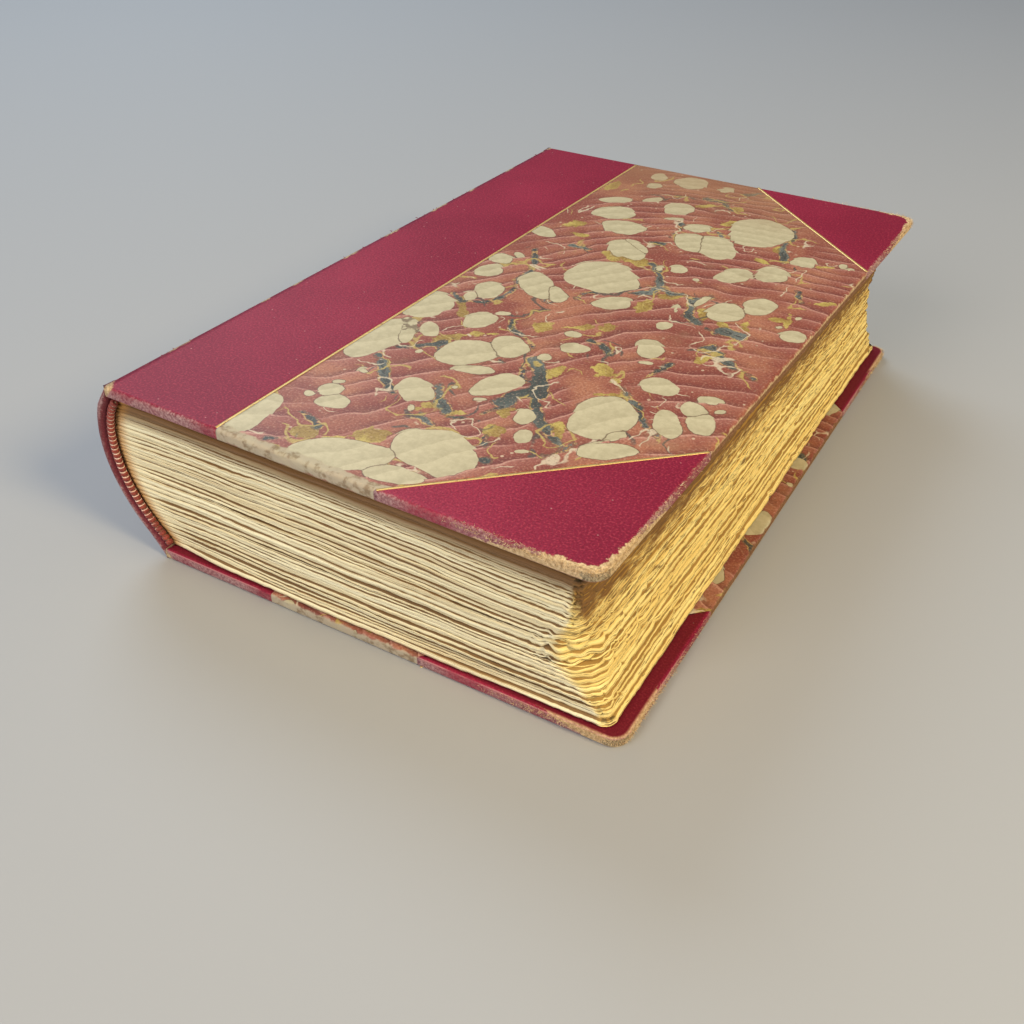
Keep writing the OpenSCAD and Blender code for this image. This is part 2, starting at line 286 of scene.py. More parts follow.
class Finish(Nodes):
    """A short way to write a material."""

    def __init__(self, name, colour, roughness):
        self.mat = material(name, colour, roughness)
        super().__init__(self.mat.node_tree)
        self.shader = self.tree.nodes["Principled BSDF"]

    def place(self, scale=(1, 1, 1), turn=0.0, source=None):
        source = source or self.node("ShaderNodeTexCoord", out="Object")
        turned = {"Vector": source, "Scale": scale, "Rotation": (0, 0, turn)}
        return self.node("ShaderNodeMapping", turned)

    def value(self, name, out="Fac"):
        return self.node("ShaderNodeAttribute", out=out, attribute_name=name)

    def noise(self, vector, scale, detail=3.0, roughness=0.55, distortion=0.0):
        return self.node("ShaderNodeTexNoise", {
            "Vector": vector, "Scale": scale, "Detail": detail,
            "Roughness": roughness, "Distortion": distortion,
        })

    def cells(self, vector, scale):
        return self.node("ShaderNodeTexVoronoi", {"Vector": vector, "Scale": scale})

    def step(self, value, low, high, to_low=0.0, to_high=1.0):
        """A soft step from to_low, where the value is low, to to_high, where it is high."""
        return self.node("ShaderNodeMapRange", {
            "Value": value, "From Min": low, "From Max": high,
            "To Min": to_low, "To Max": to_high,
        }, interpolation_type="SMOOTHSTEP")

    def mix(self, share, first, second):
        """The first colour, with its share of the second; 6, 7 and 2 are the colour sockets."""
        inputs = {"Factor": share, 6: first, 7: second}
        return self.node("ShaderNodeMix", inputs, out=2, data_type="RGBA")

    def bump(self, height, strength, distance, under=None):
        inputs = {"Height": height, "Strength": strength, "Distance": distance}
        if under is not None:
            inputs["Normal"] = under
        return self.node("ShaderNodeBump", inputs)

    def finish(self, colour=None, roughness=None, normal=None):
        for key, value in (("Base Color", colour), ("Roughness", roughness), ("Normal", normal)):
            if value is not None:
                self.put(self.shader.inputs[key], value)
        return self.mat


def rag_paper():
    """Edges of old rag paper: fine lines along each leaf, with painted shade in the gaps."""
    n = Finish("rag_paper_edges", (0.8, 0.68, 0.45), 0.85)
    leaf, run, depth, fore = (n.value(key) for key in ("leaf", "run", "depth", "fore"))

    def streaks(along, up, detail, roughness):
        drawn = n.node("ShaderNodeCombineXYZ", {"X": run * along, "Y": leaf * up})
        return n.noise(drawn, 1.0, detail, roughness)

    lines = streaks(13.0, 9.0, 3.0, 0.6)
    bands = streaks(7.0, 1.3, 2.0, 0.5)
    pits = streaks(130.0, 3.6, 3.0, 0.65)
    fleck = n.noise(n.place(), 900.0, 4.0, 0.7)
    cream = n.mix(n.step(bands, 0.3, 0.7), (0.84, 0.71, 0.43), (0.97, 0.90, 0.63))
    # the fore-edge is yellowed paper, painted more golden for the warm lamp light on it
    yellowed_and_lamplit = n.mix(n.step(bands, 0.3, 0.7), (0.86, 0.62, 0.20), (0.97, 0.80, 0.33))
    paper = n.mix(fore, cream, yellowed_and_lamplit)
    # browned and darkened with painted shade where the upper cover lies over the leaves,
    # speckled on the fore-edge
    brown_and_shade = n.value("brown") + (bands - 0.5) * 3.0
    speckle = (n.noise(n.place((1, 0.4, 1)), 420.0, 3.0, 0.6) - 0.5) * 26.0
    brown_and_shade = brown_and_shade + speckle * fore
    paper = n.mix(n.step(brown_and_shade, 41.0, 53.0, 0.0, 0.4) * fore, paper, (0.42, 0.22, 0.055))
    paper = n.mix(n.step(brown_and_shade, 49.5, 56.0, 0.0, 0.95), paper, (0.18, 0.075, 0.016))
    line = n.mix(n.step(brown_and_shade, 49.0, 55.0), (0.33, 0.18, 0.05), (0.07, 0.03, 0.01))
    paper = n.mix(n.step(lines, 0.43, 0.38, 0.0, 0.75), paper, line)
    pits = pits - n.step(brown_and_shade, 30.0, 54.0, 0.01, 0.075)
    paper = n.mix(n.step(pits, 0.42, 0.37, 0.0, 0.9) * fore, paper, (0.17, 0.085, 0.02))
    paper = n.mix(n.step(fleck, 0.36, 0.28, 0.0, 0.35), paper, (0.34, 0.20, 0.08))
    glued = n.value("spine") + (lines - 0.5) * 4.0
    paper = n.mix(n.step(glued, 7.0, 1.2, 0.0, 0.85), paper, (0.50, 0.23, 0.045))
    # painted shade in the gaps between sections, warmer on the fore-edge
    gap = n.mix(fore, (0.20, 0.10, 0.03), (0.36, 0.20, 0.045))
    colour = n.mix(n.step(depth, 0.14, 0.6, 0.0, 0.96), paper, gap)
    bump = n.bump(lines, 0.5, 0.0006)
    bump = n.bump(fleck, 0.3, 0.0004, bump)
    return n.finish(colour, None, bump)


STRATA = 44
ROUND_RUN = 0.008  # what each corner counts for on the way round
# marks round the leaves: 0 to 1 is the tail, 2 to 3 the fore-edge, 4 to 5 the head, and the
# corners lie between
run_marks = [np.linspace(first, last, count, endpoint=False) for first, last, count in (
    (0, 0.9, 62), (0.9, 1, 26), (1, 2, 16), (2, 2.05, 18), (2.05, 3, 126), (3, 4, 8),
)]
run_marks = np.concatenate(run_marks + [np.linspace(4, 5, 48)])
leaf_w = BOARD_W - FORE_SQUARE
leaf_h = BOARD_H - 2 * END_SQUARE
side_lengths = np.array([leaf_w, ROUND_RUN, leaf_h, ROUND_RUN, leaf_w])
side = np.minimum(run_marks.astype(int), 4)
share = run_marks - side
run_at = np.concatenate(([0], np.cumsum(side_lengths)))[side] + share * side_lengths[side]
columns = len(run_marks)
rng = np.random.default_rng(11)


def waves(*lengths, rows=STRATA):
    """Smooth noise from about -1 to 1 on the way round the leaves, different in each row."""
    total = np.zeros((rows, columns))
    weight = 0
    for length in lengths:
        stretch = rng.uniform(0.75, 1.3, (rows, 1))
        phase = rng.uniform(0, 2 * math.pi, (rows, 1))
        total += length ** 0.5 * np.sin(2 * math.pi * run_at / (length * stretch) + phase)
        weight += length / 2
    return total / math.sqrt(weight) / 1.6


height = (np.arange(STRATA)[:, None] + 0.5) / STRATA
crumpled = near(height, 0.40, 0.13) + 0.45 * near(height, 0.8, 0.1)
crumpled = crumpled * near(run_at - leaf_w, 0.003, 0.007)
on_fore = ((side >= 1) & (side <= 3)).astype(float)

# how thick each section is on its way round, as a share of the whole height
thickness = 1 + 0.24 * waves(0.30, 0.12)
thickness += 0.05 * (1 - 0.85 * on_fore) * waves(0.04, 0.02)
thickness += 0.42 * rng.standard_normal((STRATA, 1))
thickness += 0.32 * crumpled * waves(0.007, 0.0035)
thickness = np.clip(thickness, 0.35, 2.4)
thickness /= thickness.sum(0, keepdims=True)
leaves_low = INNER_Z + 0.0003
leaves_high = BOOK_T - leaves_low
stacked = np.concatenate((np.zeros((1, columns)), np.cumsum(thickness, 0)))
bounds_z = leaves_low + (leaves_high - leaves_low) * stacked
total_run = run_at[-1]
near_spine = near(run_at, 0, 0.012) + near(total_run - run_at, 0, 0.012)
# half the gap between one section and the next
gap = 0.00011 + 0.00015 * rng.random((STRATA + 1, 1)) ** 1.5
gap = gap + 0.00018 * np.clip(waves(0.13, 0.06, rows=STRATA + 1) - 0.2, 0, 1)
gap += 0.00006 * on_fore * np.clip(waves(0.012, 0.006, rows=STRATA + 1), 0, 1)
gap[:-1] += 0.00025 * crumpled * np.clip(waves(0.006, 0.003), 0, 1)
gap *= (1 - 0.8 * near_spine) * (1 - 0.6 * on_fore)
# how far each section's edge stands out from the trimmed line
reach = 0.00025 * waves(0.12, 0.05)
reach = reach + 0.00030 * rng.standard_normal((STRATA, 1))
reach += on_fore * 0.00010 * waves(0.02, 0.007, 0.0035)
reach += 0.00008 * waves(0.006, 0.0035)
reach -= crumpled * (0.0008 + 0.0009 * waves(0.006, 0.003))
reach -= 0.0005 - 0.0007 * near(height, 0, 0.16)
swell = np.where(side == 0, np.sin(math.pi * share), 0)
reach += 0.0015 * swell * near(height, 0, 0.35)
reach *= 1 - 0.9 * near_spine
pits = rng.random((STRATA, columns)) < 0.03 * on_fore
reach -= 0.0005 * pits
tail_radius = LEAF_R + THUMB_R * near(height, 0.37, 0.2)

# each section is a closed strip round three sides: back edge, rim, nose, rim, back edge, and
# each of these lines has its height, its reach, and how deep in a gap it lies, where the
# paper is darkened with painted shade
STRIP_DEPTH = 0.0075
nose_back = 0.00018 + 0.00012 * rng.random((STRATA, columns))
layers = []
for z, out, depth in (
    (bounds_z[:-1] + 0.00001, -STRIP_DEPTH, 15.0),
    (bounds_z[:-1] + gap[:-1], reach - nose_back, 0.12),
    ((bounds_z[:-1] + bounds_z[1:]) / 2, reach, 0.0),
    (bounds_z[1:] - gap[1:], reach - nose_back[:, ::-1], 0.12),
    (bounds_z[1:] - 0.00001, -STRIP_DEPTH, 15.0),
):
    out = np.broadcast_to(out, z.shape)
    back, fore = folds_x(z), fore_x(z)
    radius = np.where(side <= 1, tail_radius, LEAF_R)
    turn = np.select([side == k for k in range(4)], [0, share, 1, 1 + share], 2)
    angle = (turn - 1) * math.pi / 2
    low_y, high_y = END_SQUARE + tail_radius, BOARD_H - END_SQUARE - LEAF_R
    turn_x = fore - radius
    outward, homeward = back + share * (turn_x - back), turn_x + share * (back - turn_x)
    base_x = np.select([side == 0, side == 4], [outward, homeward], turn_x)
    base_y = np.select([side <= 1, side == 2], [low_y, low_y + share * (high_y - low_y)], high_y)
    px = base_x + np.cos(angle) * (radius + out)
    py = base_y + np.sin(angle) * (radius + out)
    layers.append((px, py, z, np.full(z.shape, depth)))
grid = np.array(layers).transpose(1, 2, 0, 3)  # quantity, stratum, layer, column
positions = grid[:3].reshape(3, -1).T
index = np.arange(STRATA * 5 * columns).reshape(STRATA, 5, columns)
above = np.roll(index, -1, axis=1)
faces = np.stack((index[..., :-1], index[..., 1:], above[..., 1:], above[..., :-1]), -1)
faces = list(faces.reshape(-1, 4))
for section in index:
    faces += [section[:, 0], section[::-1, -1]]
leaf_number = np.arange(STRATA)[:, None, None] + np.array([0, 0.12, 0.5, 0.88, 1])[None, :, None]
fore_end = leaf_w + leaf_h + 2 * ROUND_RUN
# the share of the fore-edge colour, yellowed paper with painted warm lamp light
golden_share = ramp(run_at - leaf_w + 0.0005, 0.0025) * ramp(fore_end - run_at, 0.003)
# the leaves are browned and darkened with painted shade under the upper cover, which
# reaches out further over the fore-edge
over_fore = golden_share * ramp(run_at - leaf_w, 0.009)
brown = 1000 * grid[2] + over_fore * (12.5 + 4.0 * ramp(run_at - leaf_w, leaf_h))
values = {
    "leaf": leaf_number, "run": run_at, "depth": grid[3], "fore": golden_share, "brown": brown,
    "spine": 1000 * np.minimum(run_at, total_run - run_at),
}
values = {key: np.broadcast_to(value, index.shape).ravel() for key, value in values.items()}
leaves = mesh_piece("leaves", settled(positions), faces, rag_paper(), values)
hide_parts("text_block")
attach(leaves, "book_block")

# The endpapers: a flyleaf on each side of the leaves and a pastedown glued inside each
# board. On the real book the two are one folded sheet, so a fold joins them at the
# joint.
def endpaper():
    n = Finish("endpaper", (0.70, 0.58, 0.40), 0.8)
    spots = n.noise(n.place(), 45.0, 4.0, 0.6)
    fibres = n.noise(n.place((1, 1.6, 1)), 700.0, 3.0, 0.6)
    clouds = n.noise(n.place(), 9.0, 3.0, 0.5)
    paper = n.mix(n.step(clouds, 0.3, 0.7), (0.56, 0.45, 0.29), (0.65, 0.55, 0.385))
    paper = n.mix(n.step(spots, 0.64, 0.74, 0.0, 0.6), paper, (0.45, 0.27, 0.11))
    paper = n.mix(n.step(fibres, 0.4, 0.3, 0.0, 0.25), paper, (0.50, 0.38, 0.22))
    return n.finish(paper, None, n.bump(fibres, 0.3, 0.0002))


def grid_faces(index):
    """The faces between the rows and columns of a grid of points."""
    corners = index[:-1, :-1], index[1:, :-1], index[1:, 1:], index[:-1, 1:]
    return np.stack(corners, -1).reshape(-1, 4)


def coated(mat, *nodes):
    """Gives the solids that show as they are their material."""
    for node in nodes:
        frame["nodes"][node].data.materials[0] = mat


HAIR = 0.00002  # keeps apart two faces that would lie in one plane
FOLD_X, FOLD_R = 0.0013, 0.0002  # from the joint to the fold, and how far the fold bulges
LAP_START, LAP_END = 0.0030, 0.0052  # where the folded sheet lies flat on the two leaves
FOLD_END = 0.0065
FOLD_ROWS = 60
paper = endpaper()
coated(paper, "front_flyleaf", "back_flyleaf", "front_pastedown", "back_pastedown")
front_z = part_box("front_flyleaf")[1].z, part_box("front_pastedown")[0].z
back_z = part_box("back_flyleaf")[0].z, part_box("back_pastedown")[1].z
for cover, (leaf_z, board_z), tail_end, across, along in (
    ("front", front_z, FRONT_ORIGIN, FRONT_ACROSS, FRONT_ALONG),
    ("back", back_z, BACK_ORIGIN, np.array([1.0, 0.0]), np.array([0.0, 1.0])),
):
    toward = np.sign(board_z - leaf_z)
    low, high = leaf_z - toward * HAIR, board_z + toward * HAIR
    middle, half = (low + high) / 2, (high - low) / 2
    bend = [(FOLD_X - FOLD_R * math.cos(a), middle - half * math.sin(a))
            for a in np.linspace(math.pi / 2, -math.pi / 2, 25)]
    path = [(LAP_END, low), (LAP_START, low), *bend, (LAP_START, high), (LAP_END, high)]
    marks_y = np.linspace(FOLD_END, BOARD_H - FOLD_END, FOLD_ROWS)
    points = [(*(tail_end + across * x + along * y), z) for y in marks_y for x, z in path]
    faces = grid_faces(np.arange(len(points)).reshape(FOLD_ROWS, -1))[:, [0, 3, 2, 1]]
    if toward < 0:
        faces = faces[:, ::-1]
    fold = mesh_piece(cover + "_endpaper_fold", points, faces, paper)
    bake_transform(fold)

# The inside of the binding: hemp cords that the sections are sewn on, strips of linen
# pasted over them with glue, and the millboards of the covers, pressed from pulped rope
# and paper. The skins hide nearly all of it.
def cloth(name, dark, light, threads, roughness):
    n = Finish(name, light, roughness)
    weave = n.cells(n.place(), threads)
    blotch = n.noise(n.place(), 60.0, 3.0, 0.6)
    colour = n.mix(n.step(weave, 0.0, 0.6), light, dark)
    colour = n.mix(n.step(blotch, 0.4, 0.7, 0.0, 0.5), colour, dark)
    return n.finish(colour, None, n.bump(weave, 0.5, 0.0002))


for name, dark, light, threads, roughness, *nodes in (
    ("spine_linen", (0.24, 0.16, 0.08), (0.46, 0.35, 0.20), 1500, 0.9, "spine_lining"),
    ("hemp_cord", (0.30, 0.21, 0.11), (0.55, 0.43, 0.26), 2600, 0.85,
     "sewing_cords", "tail_band_core", "head_band_core"),
    ("millboard", (0.13, 0.10, 0.07), (0.27, 0.22, 0.16), 1100, 0.95, "front_board", "back_board"),
):
    coated(cloth(name, dark, light, threads, roughness), *nodes)

# The endbands: a cord at the head and tail of the spine, wound over its whole length with
# rust-red silk, with a fine pale thread between one turn and the next.
class Growth(Nodes):
    """A short way to write a Geometry Nodes tree with named inputs."""

    def __init__(self, name, result, inputs):
        super().__init__(bpy.data.node_groups.new(name, "GeometryNodeTree"))
        for key, kind in inputs.items():
            self.tree.interface.new_socket(key, in_out="INPUT", socket_type="NodeSocket" + kind)
        self.tree.interface.new_socket(result, in_out="OUTPUT", socket_type="NodeSocketGeometry")
        self.group_input = self.tree.nodes.new("NodeGroupInput")

    def given(self, name):
        return Wire(self, self.group_input.outputs[name])

    def grow(self, instances, finish):
        """Ends the tree: the instances are made real and get their material."""
        real = self.node("GeometryNodeRealizeInstances", {0: instances})
        paint = self.node("GeometryNodeSetMaterial", {"Geometry": real, "Material": finish})
        self.put(self.tree.nodes.new("NodeGroupOutput").inputs[0], paint)
        return self.tree


def winding_tree():
    """Turns of silk along a path, each a hoop drawn out to the length of a turn."""
    g = Growth("silk_windings", "Windings", {
        "Path": "Geometry", "Turns": "Int", "Band radius": "Float", "Thread radius": "Float",
        "Turn length": "Float", "Slant": "Float", "Silk": "Material",
    })
    path = g.node("GeometryNodeMeshToCurve", {"Mesh": g.given("Path")})
    spots = {"Curve": path, "Count": g.given("Turns")}
    spots = g.node("GeometryNodeCurveToPoints", spots, "Points")
    hoop, thread = (
        g.node("GeometryNodeCurvePrimitiveCircle", {"Resolution": sides, "Radius": g.given(radius)})
        for sides, radius in ((16, "Band radius"), (10, "Thread radius"))
    )
    turn = g.node("GeometryNodeCurveToMesh", {"Curve": hoop, "Profile Curve": thread})
    size = g.node("ShaderNodeCombineXYZ", {"X": 1, "Y": 1, "Z": g.given("Turn length")})
    tilt = g.node("ShaderNodeCombineXYZ", {"X": g.given("Slant")})
    tilt = g.node("FunctionNodeEulerToRotation", {"Euler": tilt})
    lean = {"Rotation": spots.other("Rotation"), "Rotate By": tilt}
    lean = g.node("FunctionNodeRotateRotation", lean, rotation_space="LOCAL")
    place = {"Points": spots, "Instance": turn, "Rotation": lean, "Scale": size}
    return g.grow(g.node("GeometryNodeInstanceOnPoints", place), g.given("Silk"))


def grown(name, tree, points, edges, inputs, values=()):
    """The plain mesh that a tree makes from a few points and edges."""
    seed = bpy.data.meshes.new(name + "_seed")
    seed.from_pydata([tuple(p) for p in points], edges, [])
    add_values(seed, dict(values))
    obj = linked(name, seed)
    modifier = obj.modifiers.new("tree", "NODES")
    modifier.node_group = tree
    sockets = {s.name: s.identifier for s in tree.interface.items_tree if s.in_out == "INPUT"}
    for key, value in inputs.items():
        modifier[sockets[key]] = value
    evaluated = obj.evaluated_get(bpy.context.evaluated_depsgraph_get())
    made = bpy.data.meshes.new_from_object(evaluated)
    obj.modifiers.clear()
    obj.data = made
    made.name = name
    smoothed(made)
    return obj


def silk(name, dark, light):
    n = Finish(name, light, 0.6)
    strands = n.noise(n.place(), 2600.0, 2.0, 0.5)
    dirt = n.noise(n.place(), 260.0, 3.0, 0.6)
    colour = n.mix(n.step(strands, 0.35, 0.65), dark, light)
    colour = n.mix(n.step(dirt, 0.45, 0.7, 0.0, 0.5), colour, dark)
    n.shader.inputs["Sheen Weight"].default_value = 0.15
    return n.finish(colour, None, n.bump(strands, 0.4, 0.0002))


red_silk = silk("red_silk", (0.15, 0.014, 0.010), (0.34, 0.052, 0.027))
pale_silk = silk("pale_silk", (0.70, 0.40, 0.28), (0.95, 0.78, 0.66))
windings = winding_tree()
CORE_R = 0.00135
BAND_R = FOLDS_R + 0.0008 - CORE_R
BAND_Y = END_SQUARE - CORE_R
BAND_FOOT = 0.0061  # height at which each band starts, and depth at which it ends
TURNS = 33
SLANT = 0.16
for end in ("tail", "head"):
    z = np.linspace(BAND_FOOT, BOOK_T - BAND_FOOT, 90)
    x = SPINE_X - np.sqrt(BAND_R ** 2 - (z - BOOK_T / 2) ** 2)
    y = np.full_like(z, BAND_Y if end == "tail" else BOARD_H - BAND_Y)
    path = settled(np.column_stack((x, y, z)))
    edges = [(i, i + 1) for i in range(len(z) - 1)]
    between = (path[:-1] + path[1:]) / 2
    turns = grown(end + "_endband_silk", windings, path, edges, {
        "Turns": TURNS, "Band radius": 0.00062, "Thread radius": 0.00062, "Turn length": 1.42,
        "Slant": SLANT, "Silk": red_silk,
    })
    thread = grown(end + "_endband_thread", windings, between, edges[:-1], {
        "Turns": TURNS - 1, "Band radius": 0.00098, "Thread radius": 0.00017, "Turn length": 1.0,
        "Slant": SLANT, "Silk": pale_silk,
    })
    for piece in (turns, thread):
        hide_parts(end + "_band_silk")
        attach(piece, "book_block")

# The leather: one skin of crimson goat, pared thin, drawn over the spine and onto both
# boards. It is turned in at the head and tail, where it is rolled into caps over the
# endbands, and has rubbed through at the arrises.
def goatskin(name, deep, bright, faded=0.0, fray=0.16):
    """Crimson goat: faded is a share of brown, and fray says how far a corner is worn."""
    n = Finish(name, bright, 0.5)
    shadow = (0.11, 0.006, 0.014)
    n.shader.inputs["Specular IOR Level"].default_value = 0.12
    flat, edge, corner = n.value("flat", "Vector"), n.value("edge"), n.value("corner")
    pores = n.cells(flat, 1700.0)
    grain = n.noise(flat, 900.0, 4.0, 0.6)
    clouds = n.noise(flat, 14.0, 3.0, 0.5)
    colour = n.mix(n.step(clouds, 0.35, 0.68), deep, bright)
    # painted shade in the pores and the hollows of the pebble grain, and a painted highlight on its
    # tops
    colour = n.mix(n.step(pores, 0.5, 0.15, 0.0, 0.4), colour, shadow)
    pebbles = n.noise(flat, 1500.0, 2.0, 0.5)
    colour = n.mix(n.step(pebbles, 0.48, 0.34, 0.0, 0.30), colour, shadow)
    colour = n.mix(n.step(pebbles, 0.52, 0.66, 0.0, 0.28), colour, (0.56, 0.075, 0.10))
    # pale pink painted glints on the grain
    painted_glints = n.step(n.cells(flat, 300.0), 0.09, 0.05) * n.step(n.noise(flat, 90.0), 0.50, 0.60)
    colour = n.mix(painted_glints * 0.6, colour, (0.62, 0.38, 0.36))
    if faded:
        colour = n.mix(faded, colour, (0.10, 0.04, 0.035))
    fine = n.noise(flat, 1000.0, 4.0, 0.7) - 0.5
    ragged = n.noise(flat, 260.0, 3.0, 0.6) - 0.5
    patchy = n.noise(flat, 55.0, 2.0, 0.5)
    # rubbed along the arrises, over the whole thickness of the board
    rough_edge = edge + fine * 2.2
    rubbed = n.step(rough_edge, -1.0, 0.3) * n.step(rough_edge, 3.2, 2.6)
    rubbed = rubbed * n.step(patchy, 0.36, 0.60, 0.22, 0.9)
    scuff = n.mix(n.step(fine, -0.20, 0.22), (0.17, 0.06, 0.07), (0.52, 0.34, 0.33))
    colour = n.mix(n.step(edge, 3.5, 4.3, 0.0, 0.55), colour, (0.085, 0.008, 0.008))
    colour = n.mix(rubbed, colour, scuff)
    # worn through to tan fibre near the corners, and to the board on the corner itself
    frayed = edge + ragged * 5.0 - (corner * fray - 3.3) + fine * 2.0
    tan = n.step(frayed, 0.0, 0.6) * n.step(edge, 4.2, 2.9)
    # split along the joint, and at the joint's two ends
    joint = n.node("ShaderNodeSeparateXYZ", {"Vector": flat}, out="X")
    split = joint * 1000.0 + ragged * 3.0
    if faded:
        split = 40.5 - abs(split)
    split = n.step(split, 0.9, 0.35) * n.step(patchy, 0.52, 0.60)
    if not faded:
        foot = joint * 1000.0 + abs(edge) * 0.7
        split = n.math("MAXIMUM", split, n.step(foot + ragged * 6.0, 3.6, 2.4))
    tan = n.math("MAXIMUM", tan, split)
    fibre = n.mix(n.step(fine, -0.18, 0.16), (0.38, 0.24, 0.12), (0.72, 0.53, 0.31))
    colour = n.mix(tan, colour, fibre)
    core = n.step(corner + ragged * 9.0, 6.5, 5.0) * n.step(edge, 0.0, 0.7)
    core = core * n.step(edge, 3.4, 2.6)
    board = n.mix(n.step(fine, -0.1, 0.1), (0.13, 0.10, 0.06), (0.34, 0.28, 0.19))
    colour = n.mix(core * 0.85, colour, board)
    # a painted highlight along the arris on the inner side of the board
    rim = n.step(abs(edge - 3.0), 0.28, 0.08, 0.0, 0.65) * n.step(patchy, 0.36, 0.5)
    colour = n.mix(rim, colour, (0.50, 0.24, 0.24))
    spoiled = n.math("MAXIMUM", rubbed * 0.6, tan)
    bump = n.bump(pores, 0.3, 0.00014)
    bump = n.bump(grain, 0.12, 0.00015, bump)
    bump = n.bump((fine + ragged) * spoiled, 0.7, 0.0006, bump)
    return n.finish(colour, 0.46 + spoiled * 0.42, bump)


def closed_sheet(obj, thickness):
    """Gives a skin its wall, inwards from its outer face."""
    wall = obj.modifiers.new("thickness", "SOLIDIFY")
    wall.thickness = thickness
    wall.offset = -1
    wall.use_even_offset = True


deep_crimson, crimson = (0.205, 0.0105, 0.034), (0.28, 0.018, 0.050)
cover_leather = {
    "front": goatskin("crimson_goatskin", deep_crimson, crimson),
    "back": goatskin("crimson_goatskin_below", deep_crimson, crimson, fray=0.27),
}
spine_leather = goatskin("spine_goatskin", (0.15, 0.016, 0.028), (0.22, 0.028, 0.048), 0.35)
half = math.acos(SPINE_X / SPINE_R)
turned = np.linspace(-half, half, 97)
# the profile of a cap: distance in from the end, and how far under the outer face
cap = [
    (0.0047, 0.0046), (0.0043, 0.0041), (0.0037, 0.0038), (0.0028, 0.0036), (0.0018, 0.0034),
    (0.0010, 0.0030), (0.0004, 0.0023), (0.0001, 0.0016), (0.0002, 0.0010), (0.0006, 0.0005),
    (0.0012, 0.0002), (0.0022, 0.0),
]
RUBBED_ROW = 9  # the row of the cap that is rubbed most
SPINE_SKIN_T = 0.0009
middle = [(y, 0.0) for y in np.linspace(0.0045, BOARD_H - 0.0045, 120)]
profile = cap + middle + [(BOARD_H - y, d) for y, d in reversed(cap)]
rows = np.array(profile)
steps = np.hypot(np.diff(rows[:, 0]), np.diff(rows[:, 1]))
along_skin = np.concatenate(([0], np.cumsum(steps)))
grid_t, grid_r = np.meshgrid(turned, np.arange(len(rows)))
depth = rows[grid_r, 1]
# the cap thins out towards the joints, where the boards take its place
depth = depth * ramp(half - np.abs(grid_t), 0.12) ** 0.5
radius = SPINE_R - HAIR - depth
points = settled(np.column_stack((
    (SPINE_X - radius * np.cos(grid_t)).ravel(),
    rows[grid_r, 0].ravel(),
    (BOOK_T / 2 + radius * np.sin(grid_t)).ravel(),
)))
index = np.arange(grid_t.size).reshape(grid_t.shape)
up_skin = along_skin[grid_r]
rubbed_row, rubbed_head_row = along_skin[RUBBED_ROW], along_skin[-1 - RUBBED_ROW]
off_rim = np.minimum(np.abs(up_skin - rubbed_row), np.abs(up_skin - rubbed_head_row))
skin = mesh_piece("spine_skin", points, grid_faces(index)[:, ::-1], spine_leather, {
    "flat": np.column_stack((grid_t.ravel() * SPINE_R, up_skin.ravel(), np.zeros(grid_t.size))),
    "edge": 1.3 - 1000 * off_rim.ravel(),
    "corner": np.full(grid_t.size, 99.0),
})
closed_sheet(skin, SPINE_SKIN_T)
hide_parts("spine_leather")
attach(skin, "book_block")

# The sides of the covers: each board is covered by the spine leather as far as the gilt
# line, by two leather corners, and between them by a side of marbled paper. All are
# turned over the edges of the board and pasted down inside.
CORNER_R = 0.005
ARRIS_R = 0.0011
CASE_T = 0.00375  # a board with its skins
TURN_IN = 0.015
STRIP_W = 0.045
CORNER_X = 0.066
CORNER_Y = 0.062
RING_INSET = 0.008  # where the rows along the edges end and the flat middle starts
SKIN_T = 0.0005
PAPER_T = 0.0003


def edge_profile():
    """(inset, depth under the outer face, distance along the sheet past the board's edge)."""
    foot_r = 0.0008
    rows = [(e, 0.0, -e) for e in np.linspace(RING_INSET, ARRIS_R, 8)]
    rows += [(ARRIS_R * (1 - math.sin(a)), ARRIS_R * (1 - math.cos(a)), ARRIS_R * (a - 1))
             for a in np.linspace(0, math.pi / 2, 7)[1:]]
    run = rows[-1][2]
    rows += [(0.0, w, run + w - ARRIS_R) for w in (0.0017, 0.0023, CASE_T - foot_r)]
    run = rows[-1][2]
    rows += [(foot_r * (1 - math.cos(a)), CASE_T - foot_r * (1 - math.sin(a)), run + foot_r * a)
             for a in np.linspace(0, math.pi / 2, 5)[1:]]
    run = rows[-1][2]
    turned_in = (0.0016, 0.0026, 0.0040, 0.006, 0.0085, 0.0115, TURN_IN)
    rows += [(e, CASE_T, run + e - foot_r) for e in turned_in]
    return np.array(rows)


